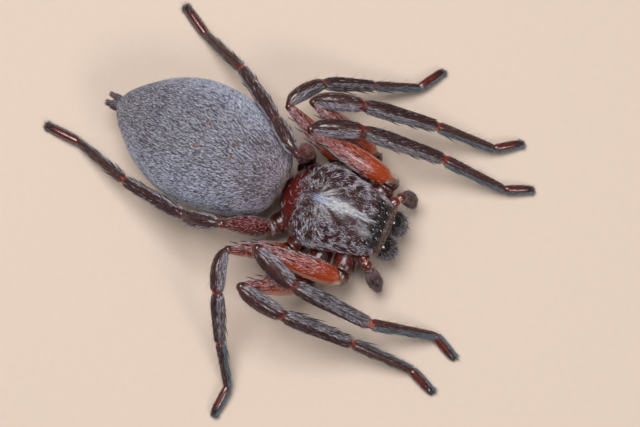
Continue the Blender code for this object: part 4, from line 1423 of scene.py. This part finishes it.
def leg_paint(leg, skin):
    """Colour rule of one leg's skin."""
    red, orange, brown, membrane = (np.array(c) for c in (skin.red, skin.orange, skin.brown, skin.membrane))
    hind = leg.pair == 4

    def paint(index, u, v, points):
        segment = SEGMENTS[index]
        t, turn = leg.wrap(segment, u, v)
        away = np.abs(turn)
        if segment == "coxa":
            # The trochanter of the hind legs has pale lilac flecks
            flecks = step_up(blotches(points, 0.22, 22), 0.35, 0.60) * step_up(t, 0.76, 0.84)
            return layered(
                red * 0.85,
                ("#1c0a08", step_up(blotches(points, 0.45, 21), 0.42, 0.62) * 0.75),
                ("#250c0a", step_up(t, 0.66, 0.80) * (1 - step_up(away, 30, 90)) * 0.8),
                (membrane * 0.18, bump_at(t, 0.72, 0.018)),
                ("#b7a6ae", flecks * 0.8 * hind),
                (membrane * 0.25, step_up(t, 0.95, 1.0)),
            )
        if segment == "femur":
            return layered(
                red * 1.15 if hind else orange,
                (red, step_up(t, 0.40, 0.95) * 0.65),
                (brown, step_up(t, 0.88, 1.0) * (1 - step_up(away, 40, 80))),
                (membrane * 0.9, (1 - step_up(t, 0.03, 0.11)) * step_up(away, 60, 100)),
            )
        if segment == "patella":
            return layered(
                brown,
                (brown * 0.2 + linear("#6b4a48") * 0.8, step_up(away, 52, 66)),
                (red, step_up(t, 0.93, 0.99)),
                (membrane * 0.7, (1 - step_up(t, 0.0, 0.10)) * step_up(away, 90, 120)),
            )
        if segment == "tibia":
            return layered(
                brown,
                ("#4a3838", step_up(away, 50, 64)),
                (red * 1.1, 1 - step_up(t, 0.0, 0.04)),
                (red * 1.4, step_up(t, 0.92, 0.97)),
                ("#c0663a", step_up(t, 0.91, 0.96) * step_up(away, 62, 90)),
            )
        if segment == "metatarsus":
            return layered(
                "#4a241d",
                ("#3f4349", step_up(away, 74, 84)),
                (red * 1.4, 1 - step_up(t, 0.03, 0.08)),
                ("#c0663a", (1 - step_up(t, 0.01, 0.07)) * step_up(away, 62, 90)),
            )
        return layered(
            red * 0.95, ("#2a1110", step_up(t, 0.55, 0.95)), ("#4c4a44", step_up(away, 78, 100))
        )

    return paint


def leg_coat_rule(leg, segment):
    """How dense the lying coat is at a place of a segment."""

    def density(u, v):
        t, turn = leg.wrap(segment, u, v)
        away = np.abs(turn)
        joint = step_up(t, 0.03, 0.08) * (1 - step_up(t, 0.92, 0.96))
        if segment == "coxa":
            return 1 - bump_at(t, 0.72, 0.05)
        if segment == "femur":
            hind = 0.45 if leg.pair == 4 else 0.05
            bare = hind + (1 - hind) * step_up(t, 0.16, 0.42)
            return joint * (hind + (1 - hind) * (1 - step_up(away, 40, 95))) * bare
        if segment == "patella":
            return joint * step_up(t, 0.04, 0.14) * (0.34 + 0.80 * step_up(away, 50, 70))
        if segment == "tarsus":
            return 0.22 + 0.8 * step_up(away, 60, 95)
        if segment == "metatarsus":
            return joint * (0.32 + 0.6 * step_up(away, 70, 82))
        return joint * (0.44 + 0.60 * step_up(away, 45, 60))

    return density


def leg_coat_tints(leg, segment, u, v, coat):
    """Colours of a segment's lying hairs with their shares: brown on its back, grey on both sides."""
    t, turn = leg.wrap(segment, u, v)
    away = np.abs(turn)
    if segment == "coxa":
        return ("#9a8088", 0.2), ("#5a2a26", 0.4), ("#2c1210", 0.4)
    if segment == "femur":
        pale = 0.34 if leg.pair < 4 else 0.20
        return ("#dccbd2", pale), ("#8c6266", 0.30), ("#702c1c", 0.70 - pale)
    if segment == "patella":
        rim, side = bump_at(away, 57.0, 6.0), step_up(away, 58, 70)
        return (
            (coat.silver, 0.01 + 0.9 * rim + 0.40 * side), ("#9a93a6", 0.04 + 0.42 * side),
            (coat.dusk, 0.26), (coat.umber, 0.70 * (1 - 0.8 * side)),
        )
    if segment == "tibia":
        line = bump_at(away, 54.0, 5.0) * (1 - step_up(t, 0.55, 0.95))
        side = step_up(away, 50, 60)
        return (
            (coat.silver, 0.01 + 0.7 * line + 0.26 * side), (coat.grey, 0.04 + 0.36 * side),
            (coat.dusk, 0.30), (coat.umber, 0.60 * (1 - 0.5 * side)),
        )
    if segment == "metatarsus":
        line, side = bump_at(away, 76.0, 4.0), step_up(away, 74, 82)
        return (
            ("#8c97a3", 0.05 + 0.6 * side), (coat.dusk, 0.30), (coat.umber, 0.60 * (1 - side)),
            ("#a8806a", 0.02 + 1.0 * line),
        )
    return ("#8f9490", 0.05 + 0.8 * step_up(away, 70, 95)), (coat.umber, 0.5), (coat.dusk, 0.3)


def leg_spines(leg, rng):
    """All spines of a leg: slender black cones that lean along it, each slightly bowed."""
    parts = []
    for segment, rows in LEG_SPINES.items():
        for at, around, length in rows:
            at = at + rng.uniform(-0.025, 0.025)
            centre, heading = along_path(leg.paths[segment], np.array(at))
            top, side = tube_axes(heading)
            back = leg.crest[segment]
            angle = math.atan2(side @ back, top @ back) + math.radians(around + rng.uniform(-6, 6))
            out = top * math.cos(angle) + side * math.sin(angle)
            radius = read_table(LEG_WIDTHS[segment], at)[1] * leg.thick
            lean = math.radians(rng.uniform(7, 14))
            way = heading * math.cos(lean) + out * math.sin(lean)
            start = centre + out * (radius - 0.05)
            length = length * rng.uniform(0.95, 1.2) * (0.75 + 0.25 * leg.thick)
            middle = start + way * length * 0.5 + out * 0.05 * length
            path = (start, middle, start + way * length)
            parts.append(Surface(tube_rule(path, SPINE_WIDTHS, 1.0, 0.04)).grid(9, 8)[:2])
    return joined(parts)


def leg_claws(leg):
    """Two small hooked claws at the tip of the foot."""
    ankle, toe = leg.joints[-2:]
    ahead = unit((toe - ankle) * (1.0, 1.0, 0.0))
    beside = np.cross(UP, ahead)
    parts = []
    for sign in (1, -1):
        start = toe - ahead * 0.12 + beside * sign * 0.11 + UP * 0.10
        path = (start, start + ahead * 0.26 + UP * 0.16, start + ahead * 0.40 - UP * 0.16)
        parts.append(Surface(tube_rule(path, CLAW_WIDTHS)).grid(12, 10)[:2])
    return joined(parts)


class SPIDER_OT_legs(bpy.types.Operator):
    """Add the eight legs: skin, lying coat, foot brushes, spines and claws"""

    bl_idname = "spider.legs"
    bl_label = "Legs"

    def execute(self, context):
        skin, coat = context.scene.spider_skin, context.scene.spider_coat
        rows = (34, 70, 44, 66, 56, 30)
        sides = 32
        # Two end points and all rings between them
        shine = [np.full((count - 1) * sides + 2, GLOSS[segment]) for segment, count in zip(SEGMENTS, rows)]
        for order, name in enumerate(LEG_POSES):
            rng = np.random.default_rng(SEED + 10 + order)
            leg = Leg(name)
            surfaces = list(leg.surfaces.values())
            piece = skin_piece(
                f"skin_leg_{name}", surfaces, leg_skin_material(), leg_paint(leg, skin), rows, sides
            )
            set_number(piece, "Gloss", np.concatenate(shine))
            nodes = [f"leg_{name}_{part}" for part in SEGMENTS if part != "patella"]
            place(piece, "leg_velvet", *nodes)

            batches = []
            # A leg of 26 mm has the full number of hairs
            reach = sum(SEGMENT_LENGTHS[leg.pair].values()) / 26.0
            total = coat.leg_hairs * (0.55 + 0.45 * reach) * leg.thick
            for index, (segment, surface) in enumerate(leg.surfaces.items()):
                strip = (index, len(SEGMENTS))
                count = int(total * LEG_COAT_SHARES[segment])
                u, v = surface.scatter(count, rng, leg_coat_rule(leg, segment), 70, 48, 0.03, 0.97)
                clump = clumps(surface, u, v, 0.035, 16) if segment in LOCKED_SEGMENTS else None
                tint = pick_tint(rng, count, *leg_coat_tints(leg, segment, u, v, coat), clump=clump)
                batches.append(batch(surface, u, v, rng, segment, tint, spot=strip_spot(u, v, *strip)))
                if segment in ("patella", "tibia", "metatarsus"):
                    # Thin dark hairs stand out beyond the coat
                    dark = (("#2b2021", 0.6), ("#7d757d", 0.4))
                    batches.append(grow(
                        surface, rng, 110, "leg tall", dark, grid=(40, 24), ends=(0.08, 0.95), strip=strip
                    ))
            batches += foot_brush(leg, coat, rng)
            place(coat_piece(f"coat_leg_{name}", batches), "leg_velvet")
            for kind, (points, faces) in (("spines", leg_spines(leg, rng)), ("claws", leg_claws(leg))):
                place(new_piece(f"{kind}_leg_{name}", points, faces, black_material()), "black_cuticle")
        return {"FINISHED"}


def foot_brush(leg, coat, rng):
    """Dense brushes under the last two segments and the pads beside the claws."""
    batches = []
    tints = ((coat.slate, 0.62), ("#98a3ac", 0.18), ("#4a4d52", 0.20))
    for segment, share, low, high, length in SOLE_BRUSHES:
        def density(u, v, segment=segment):
            return step_up(np.abs(leg.wrap(segment, u, v)[1]), 78, 92)

        strip = (SEGMENTS.index(segment), len(SEGMENTS))
        count = int(coat.brush_hairs * share)
        brush = grow(leg.surfaces[segment], rng, count, "sole", tints, density, (50, 48), (low, high), strip)
        brush["lengths"] *= length
        # Hairs of the sole are shorter where the foot rests
        tips = brush["roots"] + brush["ways"] * brush["lengths"][:, None]
        tips = tips + brush["outs"] * (brush["lengths"] * brush["lift"])[:, None]
        drop = (brush["roots"][:, 2] - FLOOR_GAP) / np.maximum(brush["roots"][:, 2] - tips[:, 2], 1e-6)
        brush["lengths"] *= np.where(tips[:, 2] < FLOOR_GAP, np.clip(drop, 0.12, 1.0), 1.0)
        batches.append(brush)
    return batches


class SPIDER_OT_stage(bpy.types.Operator):
    """Add the pale floor, the soft lamps and the camera"""

    bl_idname = "spider.stage"
    bl_label = "Stage"

    def execute(self, context):
        settings = context.scene.spider_stage
        bpy.ops.object.select_all(action="DESELECT")
        bpy.ops.mesh.primitive_plane_add(size=1.6, location=(0.0, 0.0, 0.0))
        floor = context.active_object
        floor.name = "studio_floor"
        material, tree, shader = new_material("matt studio board", 0.75, specular=0.3)
        where = add_node(tree, "ShaderNodeTexCoord").outputs["Object"]
        # The board's paper tooth is half a millimetre wide
        tooth = add_node(
            tree, "ShaderNodeTexNoise", {"Scale": 1 / (0.5 * MM), "Detail": 3.0}, {"Vector": where}
        )
        color = np.array(settings.floor)
        mix = add_node(
            tree, "ShaderNodeMix", {6: (*(color * 0.97), 1.0), 7: (*np.minimum(color * 1.03, 1.0), 1.0)},
            {"Factor": tooth.outputs["Fac"]}, data_type="RGBA",
        )
        tree.links.new(mix.outputs[2], shader.inputs["Base Color"])
        floor.data.materials.append(material)

        # The key lamp hangs almost overhead, the fill lamp in front of the head on the animal's right
        for name, spot, size, power in (
            ("key_lamp", (0.03, 0.06, 0.26), 0.17, settings.key_power),
            ("fill_lamp", (-0.07, -0.17, 0.20), 0.10, settings.fill_power),
        ):
            lamp = bpy.data.lights.new(name, "AREA")
            lamp.shape = "DISK"
            lamp.size = size
            lamp.energy = power
            holder = bpy.data.objects.new(name, lamp)
            holder.location = spot
            holder.rotation_euler = (-Vector(spot)).to_track_quat("-Z", "Y").to_euler()
            context.scene.collection.objects.link(holder)
        world = bpy.data.worlds.new("studio")
        world.use_nodes = True
        sky = world.node_tree.nodes["Background"]
        sky.inputs["Color"].default_value = (1.0, 0.97, 0.94, 1.0)
        sky.inputs["Strength"].default_value = settings.sky
        context.scene.world = world
        context.scene.view_settings.view_transform = "Standard"

        azimuth, elevation = math.radians(CAMERA_AZIMUTH), math.radians(CAMERA_ELEVATION)
        back = Vector((
            math.sin(azimuth) * math.cos(elevation), -math.cos(azimuth) * math.cos(elevation),
            math.sin(elevation),
        ))
        right = Vector((math.cos(azimuth), math.sin(azimuth), 0.0))
        up = back.cross(right)
        camera = bpy.data.objects.new("camera", bpy.data.cameras.new("camera"))
        camera.data.lens = CAMERA_LENS
        camera.data.sensor_width = 36.0
        camera.data.clip_start = 0.005
        camera.data.clip_end = 10.0
        turn = Matrix((right, up, back)).transposed().to_4x4()
        camera.matrix_world = Matrix.Translation(CAMERA_PLACE) @ turn
        context.scene.collection.objects.link(camera)
        context.scene.camera = camera
        return {"FINISHED"}


OPERATORS = (
    SPIDER_OT_stage,
    SPIDER_OT_abdomen,
    SPIDER_OT_spinnerets,
    SPIDER_OT_fore_body,
    SPIDER_OT_eyes,
    SPIDER_OT_jaws,
    SPIDER_OT_mouthparts,
    SPIDER_OT_palps,
    SPIDER_OT_legs,
)


class SPIDER_PT_panel(bpy.types.Panel):
    """List the spider's pieces and settings"""

    bl_idname = "SPIDER_PT_panel"
    bl_label = "Huntsman Spider"
    bl_space_type = "VIEW_3D"
    bl_region_type = "UI"
    bl_category = "Spider"

    def draw(self, context):
        layout = self.layout
        for operator in OPERATORS:
            layout.operator(operator.bl_idname)
        for settings in (context.scene.spider_skin, context.scene.spider_coat, context.scene.spider_stage):
            box = layout.box()
            for key in type(settings).__annotations__:
                box.prop(settings, key)


SETTINGS = {
    "spider_skin": SpiderSkinSettings,
    "spider_coat": SpiderCoatSettings,
    "spider_stage": SpiderStageSettings,
}


def register():
    for name, group in SETTINGS.items():
        bpy.utils.register_class(group)
        setattr(bpy.types.Scene, name, PointerProperty(type=group))
    for cls in (*OPERATORS, SPIDER_PT_panel):
        bpy.utils.register_class(cls)


def unregister():
    for cls in (SPIDER_PT_panel, *reversed(OPERATORS)):
        bpy.utils.unregister_class(cls)
    for name, group in SETTINGS.items():
        delattr(bpy.types.Scene, name)
        bpy.utils.unregister_class(group)


def main():
    register()
    bpy.ops.spider.stage()
    bpy.ops.spider.abdomen()
    bpy.ops.spider.spinnerets()
    bpy.ops.spider.fore_body()
    bpy.ops.spider.eyes()
    bpy.ops.spider.jaws()
    bpy.ops.spider.mouthparts()
    bpy.ops.spider.palps()
    bpy.ops.spider.legs()


if __name__ == "__main__":
    main()
